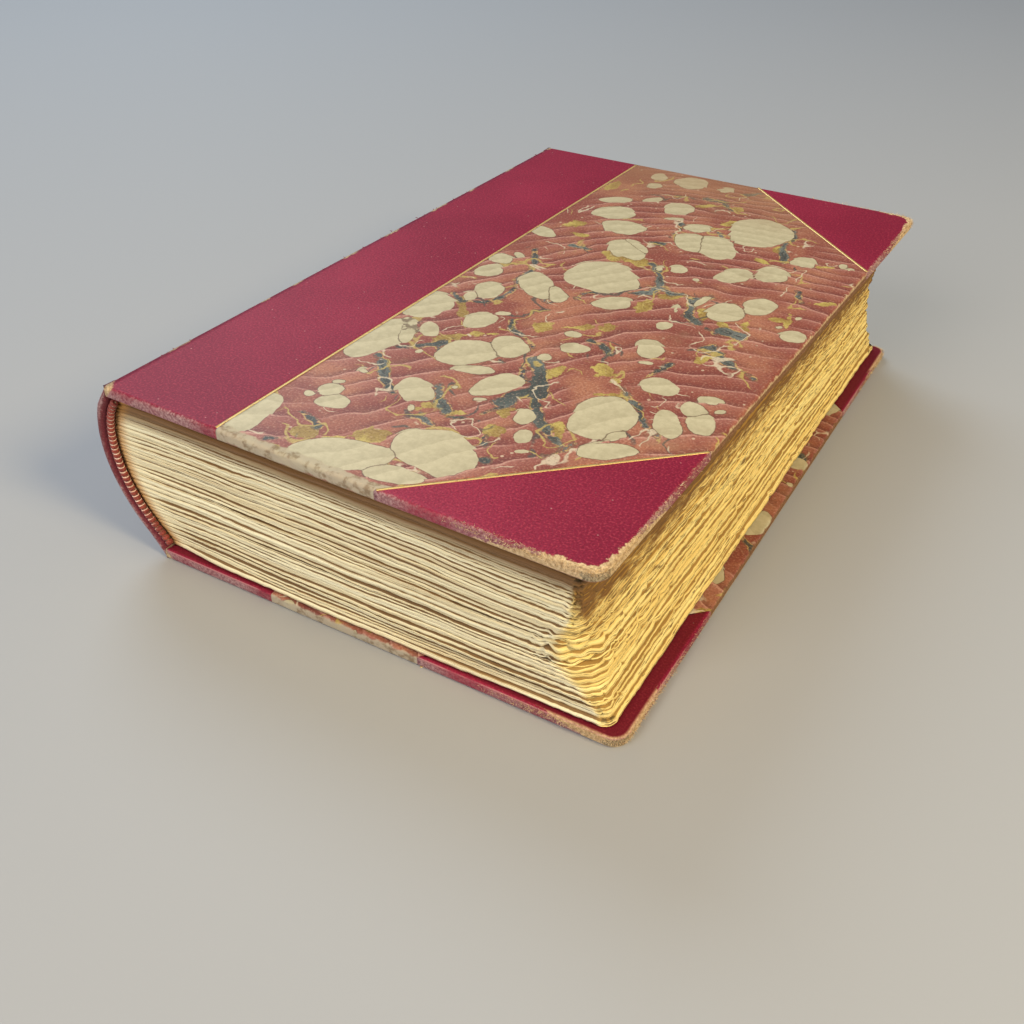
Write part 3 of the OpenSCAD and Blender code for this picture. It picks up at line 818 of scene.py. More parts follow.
def cover_sheet(across, along):
    """Points (u, v, w), flat places, edge distances and faces of a sheet that wraps one cover."""
    t, s = np.linspace(0, 1, across + 1), np.linspace(0, 1, along + 1)
    arc = np.linspace(0, 1, 8)[1:-1]
    sides = t, arc, s, arc, t
    side = np.concatenate([np.full(len(marks), k) for k, marks in enumerate(sides)])
    share = np.concatenate(sides)
    angle = np.select([side == k for k in range(4)], [-1, share - 1, 0, share], 1.0)
    angle = angle * math.pi / 2
    normal = np.column_stack((np.cos(angle), np.sin(angle)))
    profile = edge_profile()
    places, flats, edges = [], [], []

    def line(e):
        wide, tall = BOARD_W - e, BOARD_H - 2 * e
        u = np.select([side == 0, side == 4], [share * wide, (1 - share) * wide], wide)
        v = np.select([side <= 1, side == 2], [e, e + share * tall], e + tall)
        return np.column_stack((u, v))

    for inset, depth, past in profile:
        place = line(max(inset, CORNER_R)) + normal * max(CORNER_R - inset, 0)
        flat = place if past == -inset else line(CORNER_R) + normal * (CORNER_R + past)
        places.append(np.column_stack((place, np.full(len(side), depth))))
        flats.append(flat)
        edges.append(np.full(len(side), past))
    rings = np.arange(len(profile) * len(side)).reshape(len(profile), -1)
    gu, gv = np.meshgrid(t * (BOARD_W - RING_INSET), RING_INSET + s * (BOARD_H - 2 * RING_INSET))
    inner = rings.size + np.arange(gu.size).reshape(gu.shape)
    faces = grid_faces(rings), grid_faces(inner)[:, [0, 3, 2, 1]]
    places.append(np.column_stack((gu.ravel(), gv.ravel(), np.zeros(gu.size))))
    flats.append(places[-1][:, :2])
    edges.append(-np.minimum(np.minimum(BOARD_W - gu, gv), BOARD_H - gv).ravel())
    return np.vstack(places), np.vstack(flats), np.concatenate(edges), np.vstack(faces)


def cut_sheet(name, sheet, cuts):
    """The part of a sheet beyond each cut, a place (u, v) and the way past it, in (u, v, w)."""
    places, flats, edges, faces = sheet
    mesh = bpy.data.meshes.new(name)
    mesh.from_pydata(places.tolist(), [], faces.tolist())
    flats = np.column_stack((flats, np.zeros(len(flats))))
    add_values(mesh, {"flat": flats, "edge": edges * 1000})
    work = bmesh.new()
    work.from_mesh(mesh)
    bmesh.ops.remove_doubles(work, verts=work.verts, dist=1e-6)
    for (u, v), (nu, nv) in cuts:
        geometry = [*work.verts, *work.edges, *work.faces]
        plane_at = {"plane_co": (u, v, 0), "plane_no": (nu, nv, 0)}
        bmesh.ops.bisect_plane(work, geom=geometry, dist=1e-6, clear_inner=True, **plane_at)
    work.to_mesh(mesh)
    work.free()
    return mesh


def on_cover(cover, places, lift=0.0):
    """Places (u, v, depth) on a cover, in the book's own frame."""
    places = np.asarray(places, float).reshape(-1, 3)
    if cover == "front":
        flat = FRONT_ORIGIN + places[:, :1] * FRONT_ACROSS + places[:, 1:2] * FRONT_ALONG
        return np.column_stack((flat, BOOK_T - places[:, 2] + lift))
    return np.column_stack((BACK_ORIGIN + places[:, :2], places[:, 2] - lift))


def laid(cover, name, mesh, mat, thickness, node):
    """Puts a cut sheet on its cover and gives it its wall."""
    places = np.empty(len(mesh.vertices) * 3)
    mesh.vertices.foreach_get("co", places)
    places = places.reshape(-1, 3)
    off_fore, up = BOARD_W - places[:, 0], places[:, 1]
    nearest = np.minimum(np.hypot(off_fore, up), np.hypot(off_fore, BOARD_H - up))
    add_values(mesh, {"corner": 1000 * nearest})
    mesh.vertices.foreach_set("co", on_cover(cover, places).ravel())
    if cover == "back":
        mesh.flip_normals()
    smoothed(mesh)
    mesh.materials.append(mat)
    mesh.update()
    obj = linked(name, mesh)
    closed_sheet(obj, thickness)
    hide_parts(cover + "_" + node)
    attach(obj, cover + "_cover")


tail_line = ((BOARD_W - CORNER_X, 0), (CORNER_Y, -CORNER_X))
head_line = ((BOARD_W - CORNER_X, BOARD_H), (CORNER_Y, CORNER_X))
coarse = cover_sheet(84, 130)
for cover in ("front", "back"):
    for name, node, line in (
        ("strip", "spine_strip", ((STRIP_W, 0), (-1, 0))),
        ("tail_corner", "corner_tail", tail_line),
        ("head_corner", "corner_head", head_line),
    ):
        name = cover + "_" + name
        skin = cut_sheet(name, coarse, [line])
        laid(cover, name + "_skin", skin, cover_leather[cover], SKIN_T, node)

# The marbled paper: red thrown on the bath first, then ochre and grey-green veins, then
# drops of clear size that push them aside and leave pale stones. The sheet was rocked as
# it was laid down, which is what makes the waves.
# ovals on the upper cover in mm: across, along, long and short half, degrees turned
STONES = (
    (88, 146, 14, 12.5, 130), (72, 128, 11, 6, 130), (81, 125, 7.5, 3.5, 135), (60, 116, 7, 5, 125),
    (57, 109, 3.5, 2.5, 125), (101, 129, 6.5, 5, 50), (70, 95, 6, 5.5, 75), (48, 96, 10.5, 9, 90),
    (53, 76, 9, 4.5, 125), (60, 81, 5.5, 3, 125), (79, 74, 10, 8, 60), (88, 84, 7.5, 6, 140),
    (87, 66, 6.5, 2.5, 25), (98, 62, 8.5, 5.5, 65), (79, 47, 7.5, 5.5, 145),
    (106, 94, 4.5, 3.5, 15), (101, 102, 3, 2, 5), (126, 106, 6, 4.5, 110), (123, 123, 3, 2.5, 50),
    (133, 62, 11.5, 9.5, 100), (140, 55, 3.5, 3, 115), (139, 86, 6, 5, 0), (150, 68, 7.5, 4, 120),
    (153, 79, 4.5, 3.5, 125), (158, 73, 6, 4, 115), (114, 51, 4, 3, 120), (119, 42, 3.5, 2.5, 120),
    (142, 47, 8.5, 4, 35), (49, 171, 6, 4, 155), (51, 130, 6, 4.5, 90), (49, 141, 4.5, 4.5, 135),
    (53, 147, 3, 1.5, 140), (84, 172, 10, 6, 150), (86, 177, 8, 2.5, 145), (108, 166, 4, 3, 135),
    (102, 163, 2.5, 1.5, 110), (98, 52, 2, 1, 30), (88, 54, 1, 1, 135), (129, 97, 2.5, 1, 15),
    (123, 35, 2, 1, 30), (74, 103, 2.5, 1.5, 30), (84, 38, 2, 1, 125), (121, 136, 3, 1, 115),
    (155, 86, 3.5, 2.5, 5), (101, 84, 2.5, 2, 115), (66, 67, 1.5, 1, 75), (103, 23, 13, 10, 160),
    (60, 250, 4.5, 3.5, 105), (75, 250, 7.5, 6.5, 155), (63, 239, 3.5, 3, 50),
    (70, 224, 4, 2.5, 55), (57, 216, 6.5, 3.5, 35), (83, 220, 7, 6, 85), (63, 203, 9, 6.5, 35),
    (73, 191, 9, 6.5, 175), (86, 209, 3.5, 1.5, 35), (98, 205, 5.5, 4, 20),
    (102, 191, 9.5, 6.5, 125), (111, 191, 11, 8, 125), (120, 213, 15, 11.5, 110),
    (144, 195, 5, 4.5, 50), (127, 171, 7.5, 5.5, 65), (138, 179, 7, 6, 105),
    (157, 199, 2, 1.5, 115), (136, 142, 7.5, 6, 110), (144, 152, 6.5, 5.5, 80),
    (126, 146, 4.5, 1.5, 85), (161, 137, 4.5, 4, 40), (158, 150, 1.5, 1, 60),
    (117, 161, 1.5, 1.5, 50), (91, 250, 3.5, 3, 55), (155, 141, 1.5, 1, 55), (160, 197, 1.5, 1, 70),
    (50, 69, 15.5, 7.5, 90), (47, 13, 11.5, 6, 95), (58, 34, 4, 3.5, 15), (63, 29, 5, 4, 20),
    (54, 29, 2, 1.5, 155), (59, 48, 2, 1.5, 160), (57, 39, 2, 1, 30), (160, 82, 1.5, 1, 50),
    (82, 8, 14.5, 8, 20), (100, 8, 8.5, 4, 10),
)
# veins in mm: half their width, and the places that they pass
VEINS = (
    (0.6, (55, 155), (61, 145), (64, 137), (65, 128), (67, 120), (67, 113), (64, 107), (57, 104),
     (51, 107)),
    (1.7, (98, 165), (106, 156), (109, 149), (108, 143), (105, 140)),
    (0.5, (105, 140), (97, 137), (89, 131), (89, 126)),
    (1.2, (110, 148), (115, 146), (119, 148), (124, 142), (127, 133), (132, 129)),
    (0.9, (119, 148), (125, 146), (128, 150)), (0.4, (54, 84), (57, 78), (61, 70)),
    (1.2, (59, 66), (64, 70), (68, 74), (70, 76)), (0.7, (68, 74), (72, 69), (75, 66)),
    (0.2, (81, 84), (86, 81), (89, 76), (92, 74)), (0.8, (79, 100), (83, 94), (89, 92), (94, 88)),
    (2.3, (99, 81), (105, 75), (109, 68), (112, 63)), (2.5, (109, 63), (106, 60), (105, 54)),
    (0.7, (106, 52), (104, 48)), (0.8, (98, 77), (101, 70), (104, 68)),
    (1.4, (84, 52), (88, 46), (94, 42)),
    (1.2, (112, 60), (119, 51), (125, 46), (130, 43)), (0.7, (129, 35), (132, 41), (133, 46)),
    (0.7, (130, 80), (133, 76), (138, 73), (145, 64), (150, 61)), (1.4, (150, 61), (152, 58)),
    (0.6, (133, 88), (134, 93), (136, 100)), (0.8, (108, 101), (112, 101), (117, 96)),
    (1.7, (141, 115), (145, 114)), (0.6, (88, 34), (90, 35), (95, 33)), (0.8, (110, 36), (112, 33)),
    (0.7, (116, 26), (118, 26)), (0.4, (127, 79), (129, 78), (131, 83)),
    (0.6, (105, 49), (103, 45)),
    (0.4, (98, 40), (103, 43), (107, 41)), (0.4, (80, 120), (82, 118), (85, 120)),
    (1.1, (76, 233), (81, 234)), (1.7, (88, 236), (95, 236)), (0.9, (95, 236), (102, 229)),
    (1.5, (100, 248), (104, 253)), (0.4, (89, 209), (93, 199), (93, 191)),
    (1.3, (106, 206), (109, 202)),
    (0.8, (130, 222), (133, 213), (132, 206), (136, 196), (138, 191)), (1.4, (89, 183), (93, 184)),
    (2.7, (141, 129), (147, 128)), (0.5, (135, 128), (139, 126)), (0.5, (142, 190), (145, 184)),
    (0.5, (151, 170), (154, 163)), (0.7, (125, 143), (127, 147)),
    (1.1, (57, 59), (68, 47), (75, 42)),
    (0.7, (59, 20), (65, 18), (69, 16)), (0.7, (60, 4), (65, 7)),
    (0.9, (142, 118), (146, 112), (154, 108), (161, 105)), (1.2, (65, 165), (72, 165)),
)
POOLS = (
    (64, 176, 4, 2.5, 35), (91, 165, 8, 4, 165), (82, 164, 6, 2.5, 155), (111, 132, 5.5, 3, 100),
    (90, 101, 3.5, 3.5, 115), (108, 111, 4, 2, 45), (100, 107, 6, 1.5, 30), (62, 97, 3.5, 1.5, 125),
    (69, 80, 6.5, 1.5, 50), (78, 88, 6.5, 1, 30), (108, 76, 5, 3, 90), (121, 86, 4.5, 3, 150),
    (127, 82, 2.5, 1.5, 140), (87, 41, 2, 1.5, 25), (98, 43, 3.5, 1.5, 30), (108, 49, 2.5, 2.5, 25),
    (110, 40, 3.5, 3.5, 135), (126, 49, 5, 2, 120), (112, 59, 3, 1, 120), (116, 144, 4.5, 2, 35),
    (123, 143, 5.5, 2, 115), (130, 138, 4, 2, 110), (143, 108, 3.5, 1.5, 70), (129, 74, 4, 1, 20),
    (57, 104, 3, 1, 125), (98, 80, 5, 1, 120), (132, 202, 3, 2.5, 90), (131, 188, 3.5, 2, 135),
    (139, 133, 3, 2, 175), (145, 137, 3.5, 2, 105), (153, 195, 3.5, 1.5, 20), (162, 166, 4, 2, 35),
    (153, 146, 3, 1.5, 5), (48, 229, 5, 2.5, 85), (91, 229, 3.5, 2, 35), (106, 216, 5.5, 2, 60),
    (103, 232, 3, 2, 175), (156, 146, 5.5, 1, 105), (67, 12, 4, 3, 15), (84, 20, 5, 3.5, 170),
    (62, 55, 5.5, 1, 130), (76, 14, 4, 1.5, 30), (55, 184, 4, 3, 35),
)
FAR = 30.0  # mm, beyond which no distance in the pattern counts


def oval_distance(flat, ovals, seed):
    """Distances in mm to the two nearest ovals of (u, v, long, short, turn), less than 0
    inside, and the way from the line between the two, more than 0 on one side of it."""
    rng = np.random.default_rng(seed)
    nearest = np.full(len(flat), FAR)
    second, owner, other = nearest.copy(), np.zeros(len(flat)), np.zeros(len(flat))
    for k, (u, v, long, short, turn) in enumerate(ovals):
        c, s = math.cos(math.radians(turn)), math.sin(math.radians(turn))
        x, y = flat[:, 0] - u, flat[:, 1] - v
        x, y = c * x + s * y, c * y - s * x
        phase = rng.uniform(0, 2 * math.pi, 3)
        angle = np.arctan2(y / short, x / long)
        lumpy = 1 + 0.05 * np.sin(2 * angle + phase[0]) + 0.045 * np.sin(3 * angle + phase[1])
        lumpy += 0.03 * np.sin(5 * angle + phase[2])
        reach = np.hypot(x / long, y / short) / lumpy
        slope = np.hypot(x / long ** 2, y / short ** 2) + 1e-9
        distance = np.clip(reach * (reach - 1) / slope, -FAR, FAR)
        closer = distance < nearest
        other = np.where(closer, owner, np.where(distance < second, k, other))
        second = np.where(closer, nearest, np.minimum(second, distance))
        owner = np.where(closer, k, owner)
        nearest = np.minimum(nearest, distance)
    return nearest, second, (second - nearest) * np.sign(other - owner)


def vein_distance(flat, veins):
    """Distances in mm past the side, and from the middle, of the nearest vein of (half
    width, points...)."""
    nearest = np.full(len(flat), FAR)
    middle = nearest.copy()
    for half_width, *marks in veins:
        marks = np.array(marks, float)
        for a, b in zip(marks[:-1], marks[1:]):
            ab = b - a
            share = ramp((flat - a) @ ab, ab @ ab)
            gap = np.linalg.norm(flat - a - share[:, None] * ab, axis=1)
            nearest = np.minimum(nearest, gap - half_width)
            middle = np.minimum(middle, gap)
    return nearest, middle


def scattered(seed, count, smallest, largest):
    """Ovals all over a side that don't touch, mostly drawn out along the waves."""
    rng = np.random.default_rng(seed)
    ovals = []
    for _ in range(count * 12):
        long = smallest + (largest - smallest) * rng.random() ** 2.6
        u, v = rng.uniform(30, 186), rng.uniform(-22, 282)
        if all(math.hypot(u - o[0], v - o[1]) > 0.95 * (long + o[2]) for o in ovals):
            ovals.append((u, v, long, long * rng.uniform(0.5, 0.9), rng.normal(60, 40)))
        if len(ovals) == count:
            break
    return ovals


def marbled(name):
    n = Finish(name, (0.4, 0.13, 0.12), 0.45)
    n.shader.inputs["Specular IOR Level"].default_value = 0.2
    flat = n.value("flat", "Vector")
    stone, vein, pool, edge = (n.value(key) for key in ("stone", "vein", "pool", "edge"))
    wobble = n.noise(flat, 260.0, 3.0, 0.6) - 0.5
    curl = n.noise(flat, 110.0, 2.0, 0.5) - 0.5
    bend = n.noise(flat, 21.0, 2.0, 0.5) - 0.5
    fine = n.noise(flat, 1300.0, 3.0, 0.6)
    clouds = n.noise(flat, 38.0, 3.0, 0.55)
    # the waves left by rocking the sheet
    across_waves = n.place(turn=math.radians(-31.6), source=flat)
    turned = n.node("ShaderNodeSeparateXYZ", {"Vector": across_waves}, out="X")
    waved = turned.other("Y") - n.step(abs(turned - 0.17), 0.11, 0.0, 0.0, 0.034)
    waved = waved + bend * 0.020 + curl * 0.0035 + wobble * 0.0007
    tighter = n.math("MAXIMUM", waved - 0.02, 0.0) ** 2.0
    phase = n.math("FRACT", waved * 118.0 + tighter * 315.0)
    amount = n.step(n.noise(flat, 32.0, 2.0, 0.5), 0.33, 0.55)
    red = n.mix(n.step(clouds, 0.42, 0.66), (0.245, 0.064, 0.044), (0.39, 0.155, 0.088))
    red = n.mix(n.step(phase, 0.30, 1.0) * amount * 0.55, red, (0.40, 0.165, 0.13))
    red = n.mix(n.step(phase, 0.45, 0.0) * amount * 0.6, red, (0.13, 0.036, 0.034))
    crest = n.step(phase, 0.86, 0.96) * n.step(phase, 1.0, 0.97)
    red = n.mix(crest * amount * 0.55, red, (0.60, 0.35, 0.28))
    dots = n.step(n.cells(flat, 230.0), 0.14, 0.09) * n.step(n.noise(flat, 70.0), 0.48, 0.56)
    red = n.mix(dots * 0.75, red, (0.60, 0.45, 0.32))
    # ochre pools, then grey veins with a pale halo, then a web of thin threads
    swell = n.noise(flat, 62.0, 2.0, 0.5, 1.2) - 0.5
    pool_at = pool + (wobble * 6.0 + curl * 5.0 + swell * 5.0)
    ochre = n.mix(n.step(curl, -0.1, 0.12), (0.30, 0.20, 0.045), (0.50, 0.40, 0.10))
    colour = n.mix(n.step(pool_at, 0.25, -0.25, 0.0, 0.92), red, ochre)
    vein_at = vein + wobble * 4.0 + curl * 2.6 + swell * 4.0 + 0.25
    halo = n.mix(n.step(wobble, -0.01, 0.06), (0.13, 0.085, 0.055), (0.50, 0.38, 0.14))
    colour = n.mix(n.step(abs(vein_at - 0.45), 0.4, 0.08, 0.0, 0.75), colour, halo)
    grey = n.mix(n.step(clouds, 0.35, 0.65), (0.045, 0.058, 0.052), (0.145, 0.165, 0.15))
    grey = n.mix(n.step(n.cells(flat, 330.0), 0.16, 0.10, 0.0, 0.8), grey, (0.50, 0.46, 0.34))
    colour = n.mix(n.step(vein_at, 0.22, -0.10), colour, grey)
    bent = n.node("ShaderNodeTexNoise", {"Vector": flat, "Scale": 75.0, "Detail": 3.0}, out="Color")
    bent = n.node("ShaderNodeVectorMath", {0: bent, 1: (0.014, 0.014, 0.0)}, operation="MULTIPLY")
    bent = n.node("ShaderNodeVectorMath", {0: flat, 1: bent}, operation="ADD")
    thread = n.value("thread") + wobble * 3.0 + curl * 2.6
    colour = n.mix(n.step(abs(thread), 0.42, 0.16, 0.0, 0.9), colour, (0.05, 0.055, 0.05))
    near_vein = n.step(vein, 9.0, 1.0)
    for scale, levels, width, tint, low in (
        (24.0, 5.0, 0.045, (0.07, 0.07, 0.06), 0.60),
        (31.0, 6.0, 0.06, (0.45, 0.34, 0.10), 0.55),
        (38.0, 6.0, 0.055, (0.60, 0.50, 0.36), 0.58),
    ):
        level = n.math("FRACT", n.noise(bent, scale, 2.0, 0.5) * levels)
        patch = n.noise(flat, scale * 1.7, 2.0) + near_vein * 0.13
        web = n.step(abs(level - 0.5), width, width * 0.3) * n.step(patch, low, low + 0.05)
        colour = n.mix(web * 0.85, colour, tint)
    # the colours curdled on the bath into fine grains
    colour = n.mix(n.step(fine, 0.50, 0.34, 0.0, 0.42), colour, (0.11, 0.045, 0.035))
    colour = n.mix(n.step(fine, 0.52, 0.68, 0.0, 0.30), colour, (0.62, 0.42, 0.30))
    # stones of bare paper on top, with a darker rim where the colour was pushed aside
    notched = n.step(n.noise(flat, 30.0, 2.0, 0.5), 0.48, 0.60, 0.2, 1.4)
    stone_at = stone + wobble * 1.3 + (phase - 0.5) * notched
    mottle = n.step(n.noise(flat, 420.0, 4.0, 0.7), 0.3, 0.7)
    lit = n.step(phase, 0.1, 0.9) * 0.4 + mottle * 0.55
    cream = n.mix(lit, (0.405, 0.35, 0.22), (0.55, 0.483, 0.318))
    rim = n.step(abs(stone_at), 0.36, 0.08) * n.step(clouds, 0.40, 0.56, 0.15, 0.8)
    colour = n.mix(rim, colour, (0.10, 0.07, 0.05))
    colour = n.mix(n.step(stone_at, 0.10, -0.10), colour, cream)
    # a thin line of colour between two stones that meet
    seam = n.step(abs(n.value("seam") + wobble * 3.0), 0.55, 0.2)
    seam = seam * (n.step(stone_at, 0.1, -0.1) * n.step(n.value("beside"), 1.5, 0.8))
    colour = n.mix(seam * 0.8, colour, (0.14, 0.09, 0.05))
    # browner towards the head, and grimy
    head = n.node("ShaderNodeSeparateXYZ", {"Vector": flat}, out="Y")
    colour = n.mix(n.step(head, 0.20, 0.262, 0.0, 0.45), colour, (0.33, 0.19, 0.09))
    grime = n.noise(flat, 55.0, 5.0, 0.65)
    colour = n.mix(n.step(grime, 0.56, 0.74, 0.0, 0.3), colour, (0.25, 0.16, 0.09))
    # rubbed to bare grey paper along the tail, less along the other edges
    rub = wobble * 3.0 + curl * 2.0
    at_tail = n.step(head, 0.010, 0.004)
    worn = n.step(edge + rub + at_tail * 2.9, -0.4, 0.5) * n.step(edge + rub, 3.4, 2.6)
    felted = n.step(n.noise(flat, 300.0, 4.0, 0.6), 0.34, 0.52)
    bare = n.mix(felted, (0.25, 0.19, 0.12), (0.44, 0.38, 0.28))
    brown = n.mix(n.step(fine, 0.35, 0.65), (0.13, 0.058, 0.028), (0.26, 0.135, 0.065))
    pale = n.mix(n.step(fine, 0.35, 0.6), (0.32, 0.20, 0.10), (0.58, 0.44, 0.27))
    brown = n.mix(n.step(edge, 1.0, 0.3), brown, pale)
    colour = n.mix(worn * 0.92, colour, n.mix(at_tail, brown, bare))
    bump = n.bump(fine, 0.15, 0.00012)
    bump = n.bump(phase * amount, 0.05, 0.0003, bump)
    bump = n.bump(worn * rub, 0.3, 0.0004, bump)
    return n.finish(colour, 0.42 + worn * 0.4, bump)


def read(mesh, key, width):
    """The numbers, or with a width of 3 the vectors, that the mesh's points carry."""
    values = np.empty((len(mesh.vertices), width), np.float32)
    mesh.attributes[key].data.foreach_get("vector" if width == 3 else "value", values.ravel())
    return values


marbled_paper = marbled("marbled_paper")
fine_sheet = cover_sheet(166, 250)
for cover in ("front", "back"):
    paper_side = cut_sheet(cover + "_side", fine_sheet, [
        ((STRIP_W, 0), (1, 0)),
        (tail_line[0], (-CORNER_Y, CORNER_X)),
        (head_line[0], (-CORNER_Y, -CORNER_X)),
    ])
    flat = read(paper_side, "flat", 3)[:, :2] * 1000
    if cover == "front":
        stones, beside, seam = oval_distance(flat, STONES, 4)
        pools = oval_distance(flat, POOLS, 6)[0]
        veins, threads = vein_distance(flat, VEINS)
        # on the turned-in edges, which the photograph doesn't show, there are others
        more = oval_distance(flat, scattered(21, 90, 1.2, 7.5), 7)[0]
        past_edge = read(paper_side, "edge", 1)[:, 0] > 0
        stones = np.where(past_edge, np.minimum(stones, more), stones)
    else:
        stones, beside, seam = oval_distance(flat, scattered(33, 120, 1.2, 13), 9)
        pools = oval_distance(flat, scattered(35, 55, 1.5, 6), 10)[0]
        veins, threads = vein_distance(flat, [
            (0.9, (u - long, v - 3), (u, v + 1), (u + long, v + 4))
            for u, v, long, _, _ in scattered(37, 60, 3, 9)
        ])
    add_values(paper_side, {
        "stone": stones, "beside": beside, "seam": seam, "thread": threads, "pool": pools,
        "vein": veins,
    })
    name = cover + "_marbled_side"
    laid(cover, name, paper_side, marbled_paper, PAPER_T, "marbled_paper")

# The gilt lines: gold leaf pressed into the leather with a hot wheel, along the strip and
# along each corner, where the leather meets the paper.
def gold_leaf():
    n = Finish("gold_leaf", (0.78, 0.47, 0.10), 0.38)
    worn = n.noise(n.place(), 500.0, 4.0, 0.7)
    colour = n.mix(n.step(worn, 0.42, 0.32, 0.0, 0.8), (0.80, 0.54, 0.19), (0.36, 0.14, 0.07))
    n.shader.inputs["Metallic"].default_value = 0.55
    return n.finish(colour, None, n.bump(worn, 0.2, 0.0001))


gilt = gold_leaf()
GILT_W = 0.0009
GILT_T = 0.00006
GILT_MARKS = 120
STRIP_END, CORNER_END = 0.0009, 0.0008  # the lines stop short of the boards' edges
slope = np.array([CORNER_X, CORNER_Y]) / math.hypot(CORNER_X, CORNER_Y)
inward = np.array([slope[1], -slope[0]])
start, stop = np.array([BOARD_W - CORNER_X, 0.0]), np.array([BOARD_W, CORNER_Y])
start, stop = start + slope * CORNER_END, stop - slope * CORNER_END
strip_side = np.array([-1.0, 0])
at_head = np.array([0, BOARD_H])
mirrored = np.array([1, -1])
for cover in ("front", "back"):
    points, faces = [], []
    for a, b, out in (
        (np.array([STRIP_W, STRIP_END]), np.array([STRIP_W, BOARD_H - STRIP_END]), strip_side),
        (start, stop, inward),
        (start * mirrored + at_head, stop * mirrored + at_head, inward * mirrored),
    ):
        near_side = a + (b - a) * np.linspace(0, 1, GILT_MARKS)[:, None]
        ribbon = grid_faces(len(points) + np.arange(2 * GILT_MARKS).reshape(-1, 2))
        points += [(*p, 0.0) for pair in zip(near_side, near_side + out * GILT_W) for p in pair]
        out_is_left = (b - a)[0] * out[1] - (b - a)[1] * out[0] > 0
        faces.extend(ribbon if out_is_left == (cover == "front") else ribbon[:, ::-1])
    line = mesh_piece(cover + "_gilt_lines", on_cover(cover, points, HAIR), faces, gilt)
    closed_sheet(line, GILT_T)
    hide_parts(cover + "_gilt_fillets")
    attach(line, cover + "_cover")

# The fringe: where the leather has rubbed through, its tan fibres stand up in a soft ragged
# edge round the corners of the boards, and small flakes of its skin come up along the joints.
def fringe_tree():
    """Thin fibres on points, each with its own aim and size."""
    g = Growth("leather_fringe", "Fringe", {
        "Roots": "Geometry", "Fibre radius": "Float", "Fibre length": "Float", "Tan": "Material",
    })
    fibre = g.node("GeometryNodeMeshCone", {
        "Vertices": 4, "Radius Bottom": g.given("Fibre radius"), "Depth": g.given("Fibre length"),
    }, "Mesh")
    aim, size = (
        g.node("GeometryNodeInputNamedAttribute", {"Name": name}, "Attribute", data_type=kind)
        for name, kind in (("aim", "FLOAT_VECTOR"), ("size", "FLOAT"))
    )
    turn = g.node("FunctionNodeAlignRotationToVector", {"Vector": aim}, axis="Z")
    place = {"Points": g.given("Roots"), "Instance": fibre, "Rotation": turn, "Scale": size}
    return g.grow(g.node("GeometryNodeInstanceOnPoints", place), g.given("Tan"))


def tan_fibre():
    n = Finish("tan_fibre", (0.60, 0.40, 0.20), 0.9)
    shade = n.noise(n.place(), 700.0, 3.0, 0.6)
    colour = n.mix(n.step(shade, 0.38, 0.62), (0.46, 0.30, 0.16), (0.80, 0.61, 0.38))
    return n.finish(colour, None, n.bump(shade, 0.2, 0.0001))


FIBRES, FLAKES = 800, 260
JOINT_MARKS = 90
fringe = fringe_tree()
tan = tan_fibre()
flake = material("leather_flake", (0.20, 0.02, 0.045), 0.7)
rng = np.random.default_rng(5)


def fringe_roots(marks, outward, amount, count):
    """Roots scattered along a path with the ways that they stand."""
    steps = np.linalg.norm(np.diff(marks, axis=0), axis=1)
    at = np.concatenate(([0], np.cumsum(steps)))
    picked = rng.random(count * 3) * at[-1]
    picked = picked[rng.random(len(picked)) < np.interp(picked, at, amount)][:count]
    spots = np.column_stack([np.interp(picked, at, marks[:, k]) for k in range(3)])
    stand = np.column_stack([np.interp(picked, at, outward[:, k]) for k in range(3)])
    stand += rng.normal(0, 0.55, spots.shape)
    stand /= np.linalg.norm(stand, axis=1)[:, None]
    spots += rng.normal(0, 0.00022, spots.shape)
    return spots, stand, rng.uniform(0.35, 1.0, len(picked)) ** 1.5


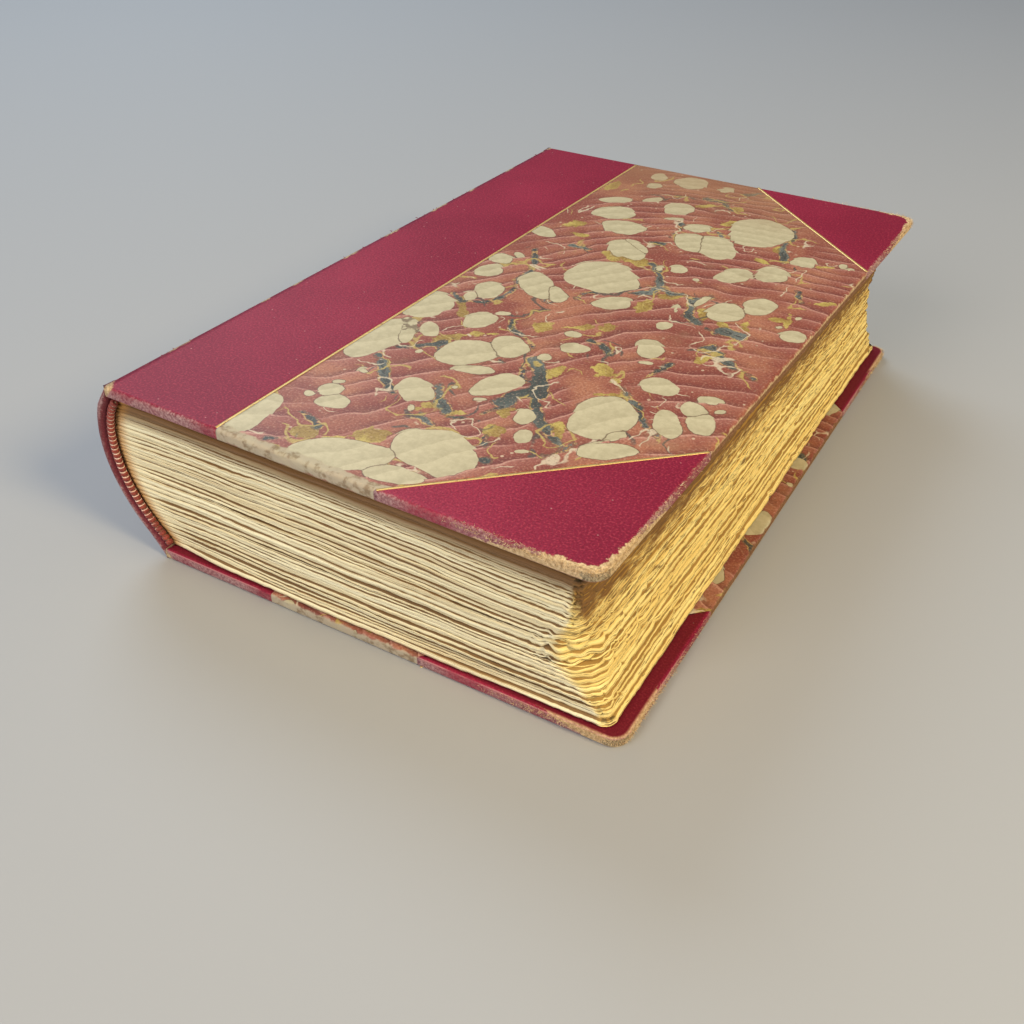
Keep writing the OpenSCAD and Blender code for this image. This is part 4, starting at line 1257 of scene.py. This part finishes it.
WORN_RUN = 0.045  # how far from a corner the fringe runs along the tail and the head
turn = np.linspace(-math.pi / 2, 0, 9)
round_corner = np.column_stack((np.cos(turn), np.sin(turn)))
corner_run = (BOARD_W - CORNER_R, CORNER_R) + CORNER_R * round_corner
tail_run = np.column_stack((np.linspace(BOARD_W - WORN_RUN, BOARD_W - CORNER_R, 30), np.zeros(30)))
fore_run = np.column_stack((np.full(40, BOARD_W), np.linspace(CORNER_R, CORNER_Y, 40)))
line = np.vstack((tail_run, corner_run[1:-1], fore_run))
facing = np.vstack(([(0.0, -1.0)] * 30, round_corner[1:-1], [(1.0, 0.0)] * 40))
amount = np.clip(1.1 - np.hypot(line[:, 0] - BOARD_W, line[:, 1]) / WORN_RUN, 0.12, 1)
# for each cover: the depths of the fringes and how far they stand up, the depth of the
# joint's flakes and how far they stand up
for cover, fringes, flakes_depth, flakes_rise in (
    ("front", ((0.0004, 0.8), (0.0012, 0.0)), 0.0003, 0.3),
    ("back", ((0.0032, 0.5), (0.0022, 0.0)), 0.0018, 0.0),
):
    tuft_roots = []
    for flip in (False, True):
        path, face_to, much = line.copy(), facing.copy(), amount * (0.55 if flip else 1)
        if flip:
            path[:, 1] = BOARD_H - path[:, 1]
            face_to[:, 1] *= -1
        for depth, rise in fringes:
            inset = 0.0005 if depth < 0.001 else 0.0
            spots = np.column_stack((path - face_to * inset, np.full(len(path), depth)))
            out = face_to
            if cover == "front":
                out = face_to[:, :1] * FRONT_ACROSS + face_to[:, 1:] * FRONT_ALONG
            outward = np.column_stack((out, np.full(len(out), rise)))
            tuft_roots.append(fringe_roots(on_cover(cover, spots), outward, much, FIBRES))
    roots, stands, sizes = (np.concatenate(parts) for parts in zip(*tuft_roots))
    tufts = grown(cover + "_leather_fringe", fringe, roots, [], {
        "Fibre radius": 0.00009, "Fibre length": 0.0013, "Tan": tan,
    }, {"aim": stands, "size": sizes})
    up_joint = np.linspace(0.001, BOARD_H - 0.001, JOINT_MARKS)
    joint_line = np.column_stack((
        np.full(JOINT_MARKS, 0.0002), up_joint, np.full(JOINT_MARKS, flakes_depth),
    ))
    wear = np.clip(rng.normal(-0.1, 0.45, JOINT_MARKS), 0.0, 1)
    outward = np.array([(-0.9, 0.0, flakes_rise)] * JOINT_MARKS)
    roots, stands, sizes = fringe_roots(on_cover(cover, joint_line), outward, wear, FLAKES)
    flakes = grown(cover + "_joint_flakes", fringe, roots, [], {
        "Fibre radius": 0.0003, "Fibre length": 0.0011, "Tan": flake,
    }, {"aim": stands, "size": sizes})
    for piece in (tufts, flakes):
        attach(piece, cover + "_cover")
